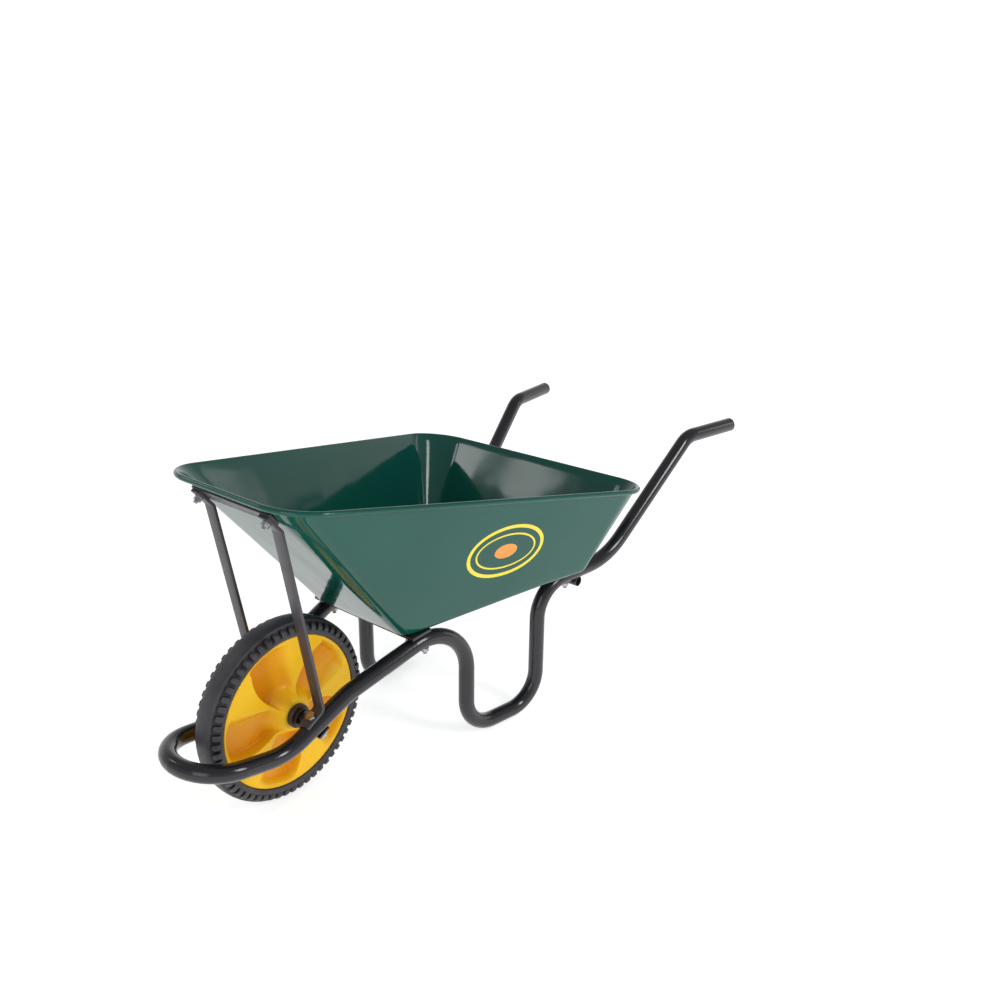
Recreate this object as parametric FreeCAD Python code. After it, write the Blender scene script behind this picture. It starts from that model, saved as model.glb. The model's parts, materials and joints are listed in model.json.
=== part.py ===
import FreeCAD, Part
import math
import os
from FreeCAD import Vector, Placement, Rotation

# A builder's wheelbarrow: one wheel in front, a pressed steel tray bolted on a
# frame of bent round tube, flat stays from the axle up to the tray's nose.
# Millimetres. +X runs from the wheel to the handles, +Y is the barrow's right
# side, +Z is up. The floor is Z = 0 and the origin is midway along the barrow.
# Lengths along X below are counted from the axle, whose own X is AXLE_X.

os.makedirs("parts", exist_ok=True)

# ---------------------------------------------------------------- driving sizes
AXLE_X = -459.0
WHEEL_R = 175.0
GAP = 0.05                      # clearance between pieces that only rest on each other
RUN_FIT = 0.05                  # radial running clearance of the bushes on the axle

# frame tube
TUBE_R = 16.0
TUBE_WALL = 2.0
NOSE_X = -224.0                 # centreline of the nose hoop
NOSE_Z = 170.0
NOSE_Y = 74.7
DIP_X, DIP_Y, DIP_Z, DIP_BEND = -62.0, 84.0, 143.0, 110.0
SIDE_Y0 = 90.06                 # side tube's half width at the axle
SIDE_SPREAD = 0.16              # growth of that half width per mm towards the handles
RISE_X, RISE_Z, RISE_BEND = 70.0, 212.0, 150.0
CROWN_SLOPE = 0.298             # climb from the wheel up to the front leg bend
LEG_FRONT_X = 345.0
LEG_REAR_X = 536.0
LEG_TOP_BEND = 100.0
LEG_FOOT_BEND = 70.0
LEG_BACK_BEND = 75.0
RISER_X, RISER_Z = 810.0, 350.0  # a point on the straight riser to the handles
RISER_SLOPE = 0.911
RISER_BEND = 160.0
GRIP_Z = 519.0
GRIP_BEND = 55.0
GRIP_END_X = 1151.84
PLUG_CAP = 4.0
PLUG_LENGTH = 30.0
PLUG_ROUND = 2.5

# tray
SHEET = 1.5
WALL_INSET = 1.8                # level distance between a wall's two faces
FLOOR_SLOPE = 0.0443            # the floor rises towards the handles
FLOOR_FRONT = (193.0, 123.4)    # x, half width of the floor's front corners
FLOOR_REAR = (644.0, 236.0)
RIM_FRONT = (-93.0, 170.5, 615.5)
RIM_REAR = (751.5, 322.0, 471.0)
BEAD_R = 5.0
BEAD_INSET = 3.0                # wall's outer face to the bead's centreline
RIM_CORNER = 81.0
FLOOR_CORNER = 26.0
FLOOR_EDGE = 18.0               # radius where the floor turns up into the walls

# cross members
BAR_WIDTH, BAR_THICK = 50.0, 6.0
BAR_X, BAR_HALF = 226.0, 138.0
BRACE_R, BRACE_WALL = 11.0, 1.5
BRACE_X = 642.0
BRACE_DROP = 20.0               # brace centreline below the side tubes' centreline
BRACE_OVERHANG = 12.0
SADDLE_HALF = 60.0              # half length of the cutter that hollows the brace round a tube
BAR_BOLT_X = 241.0
WASHER_ON_BEND = 0.6            # a flat washer's stand-off on the hollow side of the leg bend
TRAY_BOLT_FRONT_X, TRAY_BOLT_FRONT_Y = 228.0, 86.0
TRAY_BOLT_REAR_X = 614.0

# stays from the axle to the nose of the tray
STAY_WIDTH, STAY_THICK = 24.0, 6.0
STAY_Y = 91.0
STAY_FOOT_AHEAD, STAY_FOOT_BEHIND = 20.0, 22.0
STAY_BEND = 9.0
STAY_KNEE, STAY_TOP = 64.0, 24.0   # distances below the rim, along the front wall
STAY_BOLT = 37.0
TIE_WIDTH, TIE_THICK, TIE_HALF = 26.0, 4.0, 104.0
TIE_CENTRE = 34.0

# wheel
TYRE_BEAD_R = 146.0             # where the tyre grips the rim
TYRE_SEAT_HALF = 27.0
TYRE_HALF = 33.0
TREAD_HALF, TREAD_FLAT_HALF = 27.0, 20.0
TREAD_DROP = 3.0                # the tread's edge is this much lower than its middle
SHOULDER_R, SHOULDER_HALF = 167.0, 31.0
FLANK_R, LOWER_FLANK_R, LOWER_FLANK_HALF = 161.0, 154.0, 31.5
RIM_HALF, RIM_LIP = 25.5, 6.0
RIM_SLOPE_R, RIM_SLOPE_HALF = 135.0, 22.5
RIM_INNER_R, RIM_INNER_HALF = 128.0, 12.0
WEB_HALF, WEB_OUTER_R, WEB_INNER_R = 5.0, 116.0, 39.0
HUB_R, HUB_HALF = 25.0, 40.0
HUB_NECK_R, HUB_NECK_HALF = 28.0, 13.0
SPOKE_COUNT = 5
SPOKE_HALF = 20.0               # the spokes stand this far from the mid plane
SPOKE_FIRST = 148.0             # degrees from +X towards +Z, at the hub
SPOKE_INNER_R, SPOKE_MIDDLE_R, SPOKE_OUTER_R = 19.0, 84.0, 132.0
SPOKE_LEAD = (0.0, -8.6, -21.0)   # the crisp edge's turn at those three radii, degrees
SPOKE_TRAIL = (8.0, 16.0, 20.0)   # the soft edge's turn at those three radii
BUSH_R, BUSH_FLANGE_R = 14.0, 22.0
BUSH_FLANGE_HALF = 50.0
BUSH_ROUND = 2.0
SPACER_R, SPACER_PLAY = 15.0, 0.4
AXLE_R = 8.0
AXLE_THREAD_R = 6.0
EAR_INNER, EAR_THICK = 56.0, 4.0
EAR_R = 18.0
TAB_HALF = 13.0
TAB_OUTER = 104.0

# fasteners: thread radius, nut across flats, nut height, washer radius and thickness
M8 = {"r": 4.0, "flats": 13.0, "nut": 6.5, "washer_r": 8.0, "washer": 1.6, "head_r": 9.5, "head": 4.6}
M10 = {"r": 5.0, "flats": 16.0, "nut": 8.0, "washer_r": 10.0, "washer": 2.0, "head_r": 9.2, "head": 6.4}
M12_THIN = {"r": 6.0, "flats": 18.0, "nut": 6.0}
HOLE_CLEAR = 0.4
SHORTEST_RUN = 0.01             # a straight run shorter than this is left out
THREAD_CLEAR = 0.03
NUT_CHAMFER = 0.8
THREAD_END = 5.0                # thread left beyond a nut
AXLE_THREAD_END = 3.0
HOLE_LEAD = 3.0                 # a bolt hole's cutter starts this far before the bolt's own start
FLUSH = 2 * GAP                 # a countersunk head's face lies this far under the tray floor


# ---------------------------------------------------------------- shape helpers
def point(x, y, z):
    return Vector(AXLE_X + x, y, z)


def unit(v):
    return v * (1.0 / v.Length)


def bent_edges(points, radii, closed=False):
    """Straight runs joined by tangent arcs; radii has one value per corner."""
    count = len(points)
    corners = range(count) if closed else range(1, count - 1)
    starts, ends, mids = {}, {}, {}
    for i in corners:
        before = unit(points[i - 1] - points[i])
        after = unit(points[(i + 1) % count] - points[i])
        half = before.getAngle(after) / 2.0
        reach = radii[i] / math.tan(half)
        middle = unit(before + after)
        starts[i] = points[i] + before * reach
        ends[i] = points[i] + after * reach
        mids[i] = points[i] + middle * (radii[i] / math.sin(half) - radii[i])
    edges = []
    for i in range(count if closed else count - 1):
        j = (i + 1) % count
        a = ends.get(i, points[i])
        b = starts.get(j, points[j])
        if (b - a).Length > SHORTEST_RUN:
            edges.append(Part.LineSegment(a, b).toShape())
        if j in mids:
            edges.append(Part.Arc(starts[j], mids[j], ends[j]).toShape())
    return edges


def swept(edges, profile_wire):
    return Part.Wire(edges).makePipeShell([profile_wire], True, True)


def ring_wire(centre, normal, radius):
    return Part.Wire([Part.makeCircle(radius, centre, normal)])


def bent_tube(points, radii, outer, wall):
    edges = bent_edges(points, radii)
    heading = points[1] - points[0]
    solid = swept(edges, ring_wire(points[0], heading, outer))
    bore = swept(edges, ring_wire(points[0], heading, outer - wall))
    return solid.cut(bore)


def cylinder_between(a, b, radius):
    return Part.makeCylinder(radius, (b - a).Length, a, b - a)


def stand(shape, place, axis):
    """Turns a shape made along +Z so that +Z is axis, and moves its origin to place."""
    turned = shape.copy()
    turned.Placement = Placement(place, Rotation(Vector(0, 0, 1), axis))
    return turned


def revolved(outline, axis=Vector(0, 1, 0)):
    """Turns a list of (radius, y) points about the axle line."""
    points = [Vector(0, y, r) for r, y in outline]
    face = Part.Face(Part.makePolygon(points + [points[0]]))
    return face.revolve(Vector(0, 0, 0), axis, 360)


def mirrored(shape):
    return shape.mirror(Vector(0, 0, 0), Vector(0, 1, 0))


def on_axle(shape):
    moved = shape.copy()
    moved.translate(point(0, 0, WHEEL_R))
    return moved


# ---------------------------------------------------------------- fasteners, made along +Z
def hex_prism(flats, height):
    corner = flats / math.sqrt(3)
    ring = [Vector(corner * math.cos(k * math.pi / 3), corner * math.sin(k * math.pi / 3), 0)
            for k in range(7)]
    prism = Part.Face(Part.makePolygon(ring)).extrude(Vector(0, 0, height))
    side = [Vector(0, 0, 0), Vector(corner - NUT_CHAMFER, 0, 0), Vector(corner, 0, NUT_CHAMFER),
            Vector(corner, 0, height - NUT_CHAMFER), Vector(corner - NUT_CHAMFER, 0, height),
            Vector(0, 0, height), Vector(0, 0, 0)]
    turned = Part.Face(Part.makePolygon(side)).revolve(Vector(0, 0, 0), Vector(0, 0, 1), 360)
    return prism.common(turned)


def hex_nut(size, bore):
    return hex_prism(size["flats"], size["nut"]).cut(Part.makeCylinder(bore, size["nut"]))


def flat_washer(size):
    disc = Part.makeCylinder(size["washer_r"], size["washer"])
    return disc.cut(Part.makeCylinder(size["r"] + HOLE_CLEAR / 2, size["washer"]))


def cup_bolt(size, length):
    """A low domed head under Z = 0 and a plain shank up +Z."""
    radius = (size["head_r"] ** 2 + size["head"] ** 2) / (2 * size["head"])
    dome = Part.makeSphere(radius, Vector(0, 0, radius - size["head"]))
    slab = Part.makeCylinder(size["head_r"], size["head"], Vector(0, 0, -size["head"]))
    return dome.common(slab).fuse(Part.makeCylinder(size["r"], length)).removeSplitter()


def sunk_bolt(size, length, clear):
    """A countersunk head flush with Z = 0 and a plain shank up +Z, all larger by clear."""
    cone = Part.makeCone(2 * size["r"] + clear, size["r"] + clear, size["r"])
    return cone.fuse(Part.makeCylinder(size["r"] + clear, length)).removeSplitter()


def hex_bolt(size, length):
    head = hex_prism(size["flats"], size["head"])
    head.translate(Vector(0, 0, -size["head"]))
    return head.fuse(Part.makeCylinder(size["r"], length)).removeSplitter()


# ---------------------------------------------------------------- frame lines
def side_y(x):
    return SIDE_Y0 + SIDE_SPREAD * x


floor_angle = math.atan(FLOOR_SLOPE)
floor_up = Vector(-math.sin(floor_angle), 0, math.cos(floor_angle))
floor_along = Vector(math.cos(floor_angle), 0, math.sin(floor_angle))

# The front leg bend is crowned where its top is parallel to the tray floor. The
# bend lies in the side tube's own upright plane, which is turned from X by the spread.
spread_cos = math.cos(math.atan(SIDE_SPREAD))
climb = math.atan(CROWN_SLOPE * spread_cos)
crown_angle = math.atan(FLOOR_SLOPE * spread_cos)
leg_top_z = RISE_Z + CROWN_SLOPE * (LEG_FRONT_X - RISE_X)
bend_reach = LEG_TOP_BEND * math.tan((math.pi / 2 + climb) / 2)
bend_centre_x = LEG_FRONT_X - LEG_TOP_BEND * spread_cos
bend_centre_z = leg_top_z - bend_reach
crown_x = bend_centre_x - LEG_TOP_BEND * math.sin(crown_angle) * spread_cos
crown_z = bend_centre_z + LEG_TOP_BEND * math.cos(crown_angle)


def floor_z(x):
    """Underside of the tray floor, which rests on the front bar and on both side tubes."""
    seat = (TUBE_R + BAR_THICK + 2 * GAP) / math.cos(floor_angle)
    return crown_z + seat + FLOOR_SLOPE * (x - crown_x)


def run_z(x):
    """Centreline of the side tube where it runs under the rear of the floor."""
    return floor_z(x) - (TUBE_R + GAP) / math.cos(floor_angle)


riser_x = (RISER_Z - RISER_SLOPE * RISER_X - run_z(0)) / (FLOOR_SLOPE - RISER_SLOPE)
grip_x = RISER_X + (GRIP_Z - RISER_Z) / RISER_SLOPE


def half_frame_route(side):
    """Corner points and bend radii of one bent tube, from the nose's middle to the grip."""
    route = [
        (NOSE_X, 0.0, NOSE_Z, 0.0),
        (NOSE_X, NOSE_Y, NOSE_Z, None),
        (DIP_X, DIP_Y, DIP_Z, DIP_BEND),
        (RISE_X, side_y(RISE_X), RISE_Z, RISE_BEND),
        (LEG_FRONT_X, side_y(LEG_FRONT_X), leg_top_z, LEG_TOP_BEND),
        (LEG_FRONT_X, side_y(LEG_FRONT_X), TUBE_R, LEG_FOOT_BEND),
        (LEG_REAR_X, side_y(LEG_REAR_X), TUBE_R, LEG_FOOT_BEND),
        (LEG_REAR_X, side_y(LEG_REAR_X), run_z(LEG_REAR_X), LEG_BACK_BEND),
        (riser_x, side_y(riser_x), run_z(riser_x), RISER_BEND),
        (grip_x, side_y(grip_x), GRIP_Z, GRIP_BEND),
        (GRIP_END_X, side_y(GRIP_END_X), GRIP_Z, 0.0),
    ]
    points = [point(x, side * y, z) for x, y, z, _ in route]
    radii = [r for _, _, _, r in route]
    corner = (points[0] - points[1]).getAngle(points[2] - points[1]) / 2.0
    radii[1] = (NOSE_Y - GAP) * math.tan(corner)     # the two halves meet in the middle
    return points, radii


# ---------------------------------------------------------------- axle seat on the left tube
dip = point(DIP_X, -DIP_Y, DIP_Z)
rise = point(RISE_X, -side_y(RISE_X), RISE_Z)
seat_along = unit(rise - dip)
seat_up = unit(Vector(-seat_along.z, 0, seat_along.x))
seat_run = Vector(seat_up.z, 0, -seat_up.x)
SEAT_AT = 1.0                   # the foot bolt's distance behind the axle, along X
seat = dip + seat_along * ((AXLE_X + SEAT_AT - dip.x) / seat_along.x)

# The front wall of the tray, seen from the side.
wall_foot = Vector(AXLE_X + FLOOR_FRONT[0], 0, floor_z(FLOOR_FRONT[0]))
wall_head = Vector(AXLE_X + RIM_FRONT[0] + BEAD_INSET, 0, RIM_FRONT[2])
wall_down = unit(wall_foot - wall_head)
wall_out = Vector(0, 1, 0).cross(wall_down) * -1.0
if wall_out.x > 0:
    wall_out = wall_out * -1.0


def on_front_wall(down, out, y=0.0):
    return wall_head + wall_down * down + wall_out * out + Vector(0, y, 0)


# ---------------------------------------------------------------- tray
def outline(corners, radius):
    return Part.Wire(bent_edges(corners, [radius] * len(corners), closed=True))


def tray_corners(front, rear, inset):
    """Four corners of one level of the tray, moved inwards by inset."""
    return [point(front[0] + inset, -front[1] + inset, front[2]),
            point(rear[0] - inset, -rear[1] + inset, rear[2]),
            point(rear[0] - inset, rear[1] - inset, rear[2]),
            point(front[0] + inset, front[1] - inset, front[2])]


def up_the_wall(low, high, rise):
    """The point on a tray corner's line from low to high that is rise above low."""
    part = rise / (high[2] - low[2])
    return tuple(a + (b - a) * part for a, b in zip(low, high))


def tray_body(low_front, low_rear, high_front, high_rear, low_inset, high_inset, corner_less, edge):
    """A solid between two levels of the tray, its floor edge rounded."""
    low = outline(tray_corners(low_front, low_rear, low_inset), FLOOR_CORNER - corner_less)
    high = outline(tray_corners(high_front, high_rear, high_inset), RIM_CORNER - corner_less)
    body = Part.makeLoft([low, high], True, True)
    floor_face = min(body.Faces, key=lambda f: f.CenterOfMass.z)
    return body.makeFillet(edge, floor_face.Edges)


def make_tray():
    low_front = (*FLOOR_FRONT, floor_z(FLOOR_FRONT[0]))
    low_rear = (*FLOOR_REAR, floor_z(FLOOR_REAR[0]))
    outer = tray_body(low_front, low_rear, RIM_FRONT, RIM_REAR, 0.0, BEAD_INSET, 0.0, FLOOR_EDGE)
    inner = tray_body(up_the_wall(low_front, RIM_FRONT, SHEET), up_the_wall(low_rear, RIM_REAR, SHEET),
                      up_the_wall(low_front, RIM_FRONT, RIM_FRONT[2] - low_front[2] + SHEET),
                      up_the_wall(low_rear, RIM_REAR, RIM_REAR[2] - low_rear[2] + SHEET),
                      WALL_INSET, BEAD_INSET + WALL_INSET, WALL_INSET, FLOOR_EDGE - SHEET)
    rim = bent_edges(tray_corners(RIM_FRONT, RIM_REAR, 0.0), [RIM_CORNER + BEAD_INSET] * 4, closed=True)
    start = rim[0].Vertexes[0].Point
    heading = rim[0].Vertexes[1].Point - start
    bead = swept(rim, ring_wire(start, heading, BEAD_R))
    return outer.cut(inner).fuse(bead).removeSplitter()


tray = make_tray()

# ---------------------------------------------------------------- frame tubes and cross members
tubes = {}
for name, side in (("left", -1), ("right", 1)):
    points, radii = half_frame_route(side)
    tubes[name] = bent_tube(points, radii, TUBE_R, TUBE_WALL)

front_bar = Part.makeBox(BAR_WIDTH, 2 * BAR_HALF, BAR_THICK, Vector(-BAR_WIDTH / 2, -BAR_HALF, 0))
front_bar.Placement = Placement(
    Vector(AXLE_X + BAR_X, 0, floor_z(BAR_X)) - floor_up * (BAR_THICK + GAP),
    Rotation(Vector(0, 0, 1), floor_up))

brace_z = run_z(BRACE_X) - BRACE_DROP
brace_half = side_y(BRACE_X) + BRACE_OVERHANG
brace_ends = [point(BRACE_X, side * brace_half, brace_z) for side in (-1, 1)]
rear_brace = cylinder_between(*brace_ends, BRACE_R)
for side in (-1, 1):
    saddle_ends = [point(x, side * side_y(x), run_z(x))
                   for x in (BRACE_X - SADDLE_HALF, BRACE_X + SADDLE_HALF)]
    rear_brace = rear_brace.cut(cylinder_between(*saddle_ends, TUBE_R + GAP))
rear_brace = rear_brace.cut(cylinder_between(*brace_ends, BRACE_R - BRACE_WALL))

# ---------------------------------------------------------------- tray bolts
floor_down = floor_up * -1.0


def nut_and_washer(size, start, axis, grip):
    """Washer and nut on a shank that starts at start and holds grip of metal."""
    washer = stand(flat_washer(size), start + axis * (grip + GAP), axis)
    nut_at = start + axis * (grip + size["washer"] + 2 * GAP)
    nut = stand(hex_nut(size, size["r"] + THREAD_CLEAR), nut_at, axis)
    return washer, nut


def shank_length(size, grip):
    return grip + size["washer"] + size["nut"] + THREAD_END


def bolt_hole(size, start, axis, length):
    cutter = Part.makeCylinder(size["r"] + HOLE_CLEAR / 2, length + HOLE_LEAD)
    return stand(cutter, start - axis * HOLE_LEAD, axis)


tray_bolts, tray_nuts, tray_washers, tray_holes = [], [], [], []
bar_bolts, bar_nuts, bar_washers, bar_holes = [], [], [], []
for side in (-1, 1):
    for x, y, under in ((TRAY_BOLT_FRONT_X, TRAY_BOLT_FRONT_Y, BAR_THICK),
                        (TRAY_BOLT_REAR_X, side_y(TRAY_BOLT_REAR_X), 2 * TUBE_R)):
        start = Vector(AXLE_X + x, side * y, floor_z(x)) + floor_up * (SHEET + GAP)
        grip = SHEET + under + 3 * GAP
        washer, nut = nut_and_washer(M8, start, floor_down, grip)
        tray_bolts.append(stand(cup_bolt(M8, shank_length(M8, grip)), start, floor_down))
        tray_washers.append(washer)
        tray_nuts.append(nut)
        tray_holes.append(bolt_hole(M8, start, floor_down, shank_length(M8, grip)))
    start = Vector(AXLE_X + BAR_BOLT_X, side * side_y(BAR_BOLT_X), floor_z(BAR_BOLT_X)) - floor_up * FLUSH
    grip = BAR_THICK + 2 * TUBE_R + WASHER_ON_BEND
    washer, nut = nut_and_washer(M8, start, floor_down, grip)
    bar_bolts.append(stand(sunk_bolt(M8, shank_length(M8, grip), 0.0), start, floor_down))
    bar_washers.append(washer)
    bar_nuts.append(nut)
    bar_holes.append(stand(sunk_bolt(M8, shank_length(M8, grip), HOLE_CLEAR / 2), start, floor_down))

# ---------------------------------------------------------------- stays, tie bar and their bolts
def flat_strip(points, radii, thick, width):
    edges = bent_edges(points, radii)
    along = unit(points[1] - points[0])
    normal = along.cross(Vector(0, 1, 0))
    across = Vector(0, width / 2, 0)
    lift = normal * (thick / 2)
    ring = [points[0] + across + lift, points[0] + across - lift,
            points[0] - across - lift, points[0] - across + lift]
    return swept(edges, Part.makePolygon(ring + [ring[0]]))


foot_mid = Vector(seat.x, -STAY_Y, seat.z) + seat_up * (TUBE_R + 3 * GAP + STAY_THICK / 2)
stay_out = TIE_THICK + 2 * GAP + STAY_THICK / 2
left_stay = flat_strip(
    [foot_mid - seat_run * STAY_FOOT_AHEAD,
     foot_mid + seat_run * STAY_FOOT_BEHIND,
     on_front_wall(STAY_KNEE, stay_out, -STAY_Y),
     on_front_wall(STAY_TOP, stay_out, -STAY_Y)],
    [0, STAY_BEND, STAY_BEND, 0], STAY_THICK, STAY_WIDTH)

tie_corner = on_front_wall(TIE_CENTRE - TIE_WIDTH / 2, GAP, -TIE_HALF)
tie_face = Part.Face(Part.makePolygon([
    tie_corner, tie_corner + wall_down * TIE_WIDTH,
    tie_corner + wall_down * TIE_WIDTH + wall_out * TIE_THICK,
    tie_corner + wall_out * TIE_THICK, tie_corner]))
tie_bar = tie_face.extrude(Vector(0, 2 * TIE_HALF, 0))

nose_sheet = -WALL_INSET * wall_down.z          # the front wall's own thickness, square to it
stay_grip = nose_sheet + TIE_THICK + STAY_THICK + 4 * GAP
stay_start = on_front_wall(STAY_BOLT, -nose_sheet - GAP, -STAY_Y)
stay_bolt = stand(cup_bolt(M8, shank_length(M8, stay_grip)), stay_start, wall_out)
stay_washer, stay_nut = nut_and_washer(M8, stay_start, wall_out, stay_grip)
stay_hole = bolt_hole(M8, stay_start, wall_out, shank_length(M8, stay_grip))
tie_bar = tie_bar.cut(stay_hole).cut(mirrored(stay_hole))
left_stay = left_stay.cut(stay_hole)

# ---------------------------------------------------------------- axle brackets
tab_top = seat - seat_up * (TUBE_R + 2 * GAP)
tab_low = [tab_top - seat_run * TAB_HALF, tab_top + seat_run * TAB_HALF]
tab_face = Part.Face(Part.makePolygon([
    tab_low[0], tab_low[1], tab_low[1] - seat_up * EAR_THICK, tab_low[0] - seat_up * EAR_THICK, tab_low[0]]))
tab_face.translate(Vector(0, -TAB_OUTER - seat.y, 0))
tab = tab_face.extrude(Vector(0, TAB_OUTER - EAR_INNER, 0))

axle_point = point(0, 0, WHEEL_R)


def in_ear(x, z):
    return Vector(x, -EAR_INNER - EAR_THICK, z)


ear_ring = [in_ear(axle_point.x - EAR_R, WHEEL_R), in_ear(axle_point.x + EAR_R, WHEEL_R)]
for corner in (tab_low[1] - seat_up * EAR_THICK, tab_low[0] - seat_up * EAR_THICK):
    ear_ring.append(in_ear(corner.x, corner.z))
ear = Part.Face(Part.makePolygon(ear_ring + [ear_ring[0]])).extrude(Vector(0, EAR_THICK, 0))
ear = ear.fuse(Part.makeCylinder(EAR_R, EAR_THICK, in_ear(axle_point.x, WHEEL_R), Vector(0, 1, 0)))
left_bracket = ear.fuse(tab).removeSplitter()
left_bracket = left_bracket.cut(Part.makeCylinder(
    AXLE_THREAD_R + HOLE_CLEAR / 2, 3 * EAR_THICK, in_ear(axle_point.x, WHEEL_R) - Vector(0, EAR_THICK, 0),
    Vector(0, 1, 0)))

# ---------------------------------------------------------------- foot bolts through stay, tube and bracket
foot_grip = STAY_THICK + EAR_THICK + 2 * TUBE_R + 7 * GAP
foot_start = seat + seat_up * (TUBE_R + STAY_THICK + 4 * GAP)
seat_down = seat_up * -1.0
foot_bolt = stand(hex_bolt(M10, shank_length(M10, foot_grip)), foot_start, seat_down)
foot_washer, foot_nut = nut_and_washer(M10, foot_start, seat_down, foot_grip)
foot_hole = bolt_hole(M10, foot_start, seat_down, shank_length(M10, foot_grip))
left_stay = left_stay.cut(foot_hole)
left_bracket = left_bracket.cut(foot_hole)

left_tube = tubes["left"].cut(foot_hole)
right_tube = tubes["right"].cut(mirrored(foot_hole))
for hole in tray_holes + bar_holes:
    left_tube = left_tube.cut(hole)
    right_tube = right_tube.cut(hole)
    front_bar = front_bar.cut(hole)
for hole in tray_holes + [stay_hole, mirrored(stay_hole)]:
    tray = tray.cut(hole)

# ---------------------------------------------------------------- wheel
def both_sides(half):
    """A full outline from its half on the +Y side, whose first point lies on the mid plane."""
    return half + [(r, -y) for r, y in reversed(half) if y > 0]


def on_disc(radius, degrees):
    angle = math.radians(degrees)
    return Vector(radius * math.cos(angle), 0, radius * math.sin(angle))


def spoke():
    """A curved spoke that flares from the hub to the rim, crisp along one edge, on both faces of the web."""
    radii = (SPOKE_INNER_R, SPOKE_MIDDLE_R, SPOKE_OUTER_R)
    lead = [on_disc(r, SPOKE_FIRST + turn) for r, turn in zip(radii, SPOKE_LEAD)]
    trail = [on_disc(r, SPOKE_FIRST + turn) for r, turn in zip(radii, SPOKE_TRAIL)]
    edges = [Part.Arc(*lead).toShape(), Part.LineSegment(lead[2], trail[2]).toShape(),
             Part.Arc(*trail).toShape(), Part.LineSegment(trail[0], lead[0]).toShape()]
    solid = Part.Face(Part.Wire(Part.__sortEdges__(edges))).extrude(Vector(0, 2 * SPOKE_HALF, 0))
    solid.translate(Vector(0, -SPOKE_HALF, 0))
    return solid


def make_wheel_centre():
    """Rim drum, web and hub turned about the axle, with the spokes, as one moulding."""
    disc = revolved(both_sides([
        (TYRE_BEAD_R - GAP, 0.0), (TYRE_BEAD_R - GAP, RIM_HALF), (TYRE_BEAD_R - RIM_LIP, RIM_HALF),
        (RIM_SLOPE_R, RIM_SLOPE_HALF), (RIM_INNER_R, RIM_INNER_HALF), (WEB_OUTER_R, WEB_HALF),
        (WEB_INNER_R, WEB_HALF), (HUB_NECK_R, HUB_NECK_HALF), (HUB_R, HUB_HALF), (BUSH_R, HUB_HALF)]))
    for k in range(SPOKE_COUNT):
        vane = spoke()
        vane.rotate(Vector(0, 0, 0), Vector(0, 1, 0), 360.0 * k / SPOKE_COUNT)
        disc = disc.fuse(vane)
    return on_axle(disc.removeSplitter())


wheel_centre = make_wheel_centre()
tyre = on_axle(revolved(both_sides([
    (WHEEL_R, 0.0), (WHEEL_R, TREAD_FLAT_HALF), (WHEEL_R - TREAD_DROP, TREAD_HALF),
    (SHOULDER_R, SHOULDER_HALF), (FLANK_R, TYRE_HALF), (LOWER_FLANK_R, LOWER_FLANK_HALF),
    (TYRE_BEAD_R, TYRE_SEAT_HALF)])))

right_bush = on_axle(revolved([
    (AXLE_R + RUN_FIT, GAP), (BUSH_R - GAP, GAP), (BUSH_R - GAP, HUB_HALF + GAP),
    (BUSH_FLANGE_R, HUB_HALF + GAP), (BUSH_FLANGE_R, BUSH_FLANGE_HALF - BUSH_ROUND),
    (BUSH_FLANGE_R - BUSH_ROUND, BUSH_FLANGE_HALF), (AXLE_R + RUN_FIT, BUSH_FLANGE_HALF)]))

axle_end = EAR_INNER + EAR_THICK + M12_THIN["nut"] + AXLE_THREAD_END
axle = on_axle(revolved([
    (0.0, -axle_end), (AXLE_THREAD_R, -axle_end), (AXLE_THREAD_R, GAP - EAR_INNER), (AXLE_R, GAP - EAR_INNER),
    (AXLE_R, EAR_INNER - GAP), (AXLE_THREAD_R, EAR_INNER - GAP), (AXLE_THREAD_R, axle_end), (0.0, axle_end)]))
spacer_bore = AXLE_R + HOLE_CLEAR / 2
spacer_inner = BUSH_FLANGE_HALF + SPACER_PLAY
spacer = on_axle(revolved([
    (spacer_bore, spacer_inner), (SPACER_R, spacer_inner),
    (SPACER_R, EAR_INNER - GAP), (spacer_bore, EAR_INNER - GAP)]))
axle_nut = stand(hex_nut(M12_THIN, AXLE_THREAD_R + THREAD_CLEAR),
                 axle_point - Vector(0, EAR_INNER + EAR_THICK + GAP, 0), Vector(0, -1, 0))

# ---------------------------------------------------------------- handle plugs
def handle_plug(side):
    end = point(GRIP_END_X, side * side_y(GRIP_END_X), GRIP_Z)
    before = point(grip_x, side * side_y(grip_x), GRIP_Z)
    out = unit(end - before)
    bore_r = TUBE_R - TUBE_WALL - GAP
    stem = Part.makeCylinder(bore_r, PLUG_LENGTH, end + out * (GAP - PLUG_LENGTH), out)
    cap = Part.makeCylinder(TUBE_R, PLUG_CAP, end + out * GAP, out)
    rings = [e for e in cap.Edges if len(e.Vertexes) == 1]
    far_ring = max(rings, key=lambda e: (e.CenterOfMass - end).dot(out))
    return cap.makeFillet(PLUG_ROUND, [far_ring]).fuse(stem).removeSplitter()


# ---------------------------------------------------------------- the nodes
def group(shapes):
    return Part.makeCompound(shapes)


def pair(left):
    return group([left, mirrored(left)])


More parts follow.
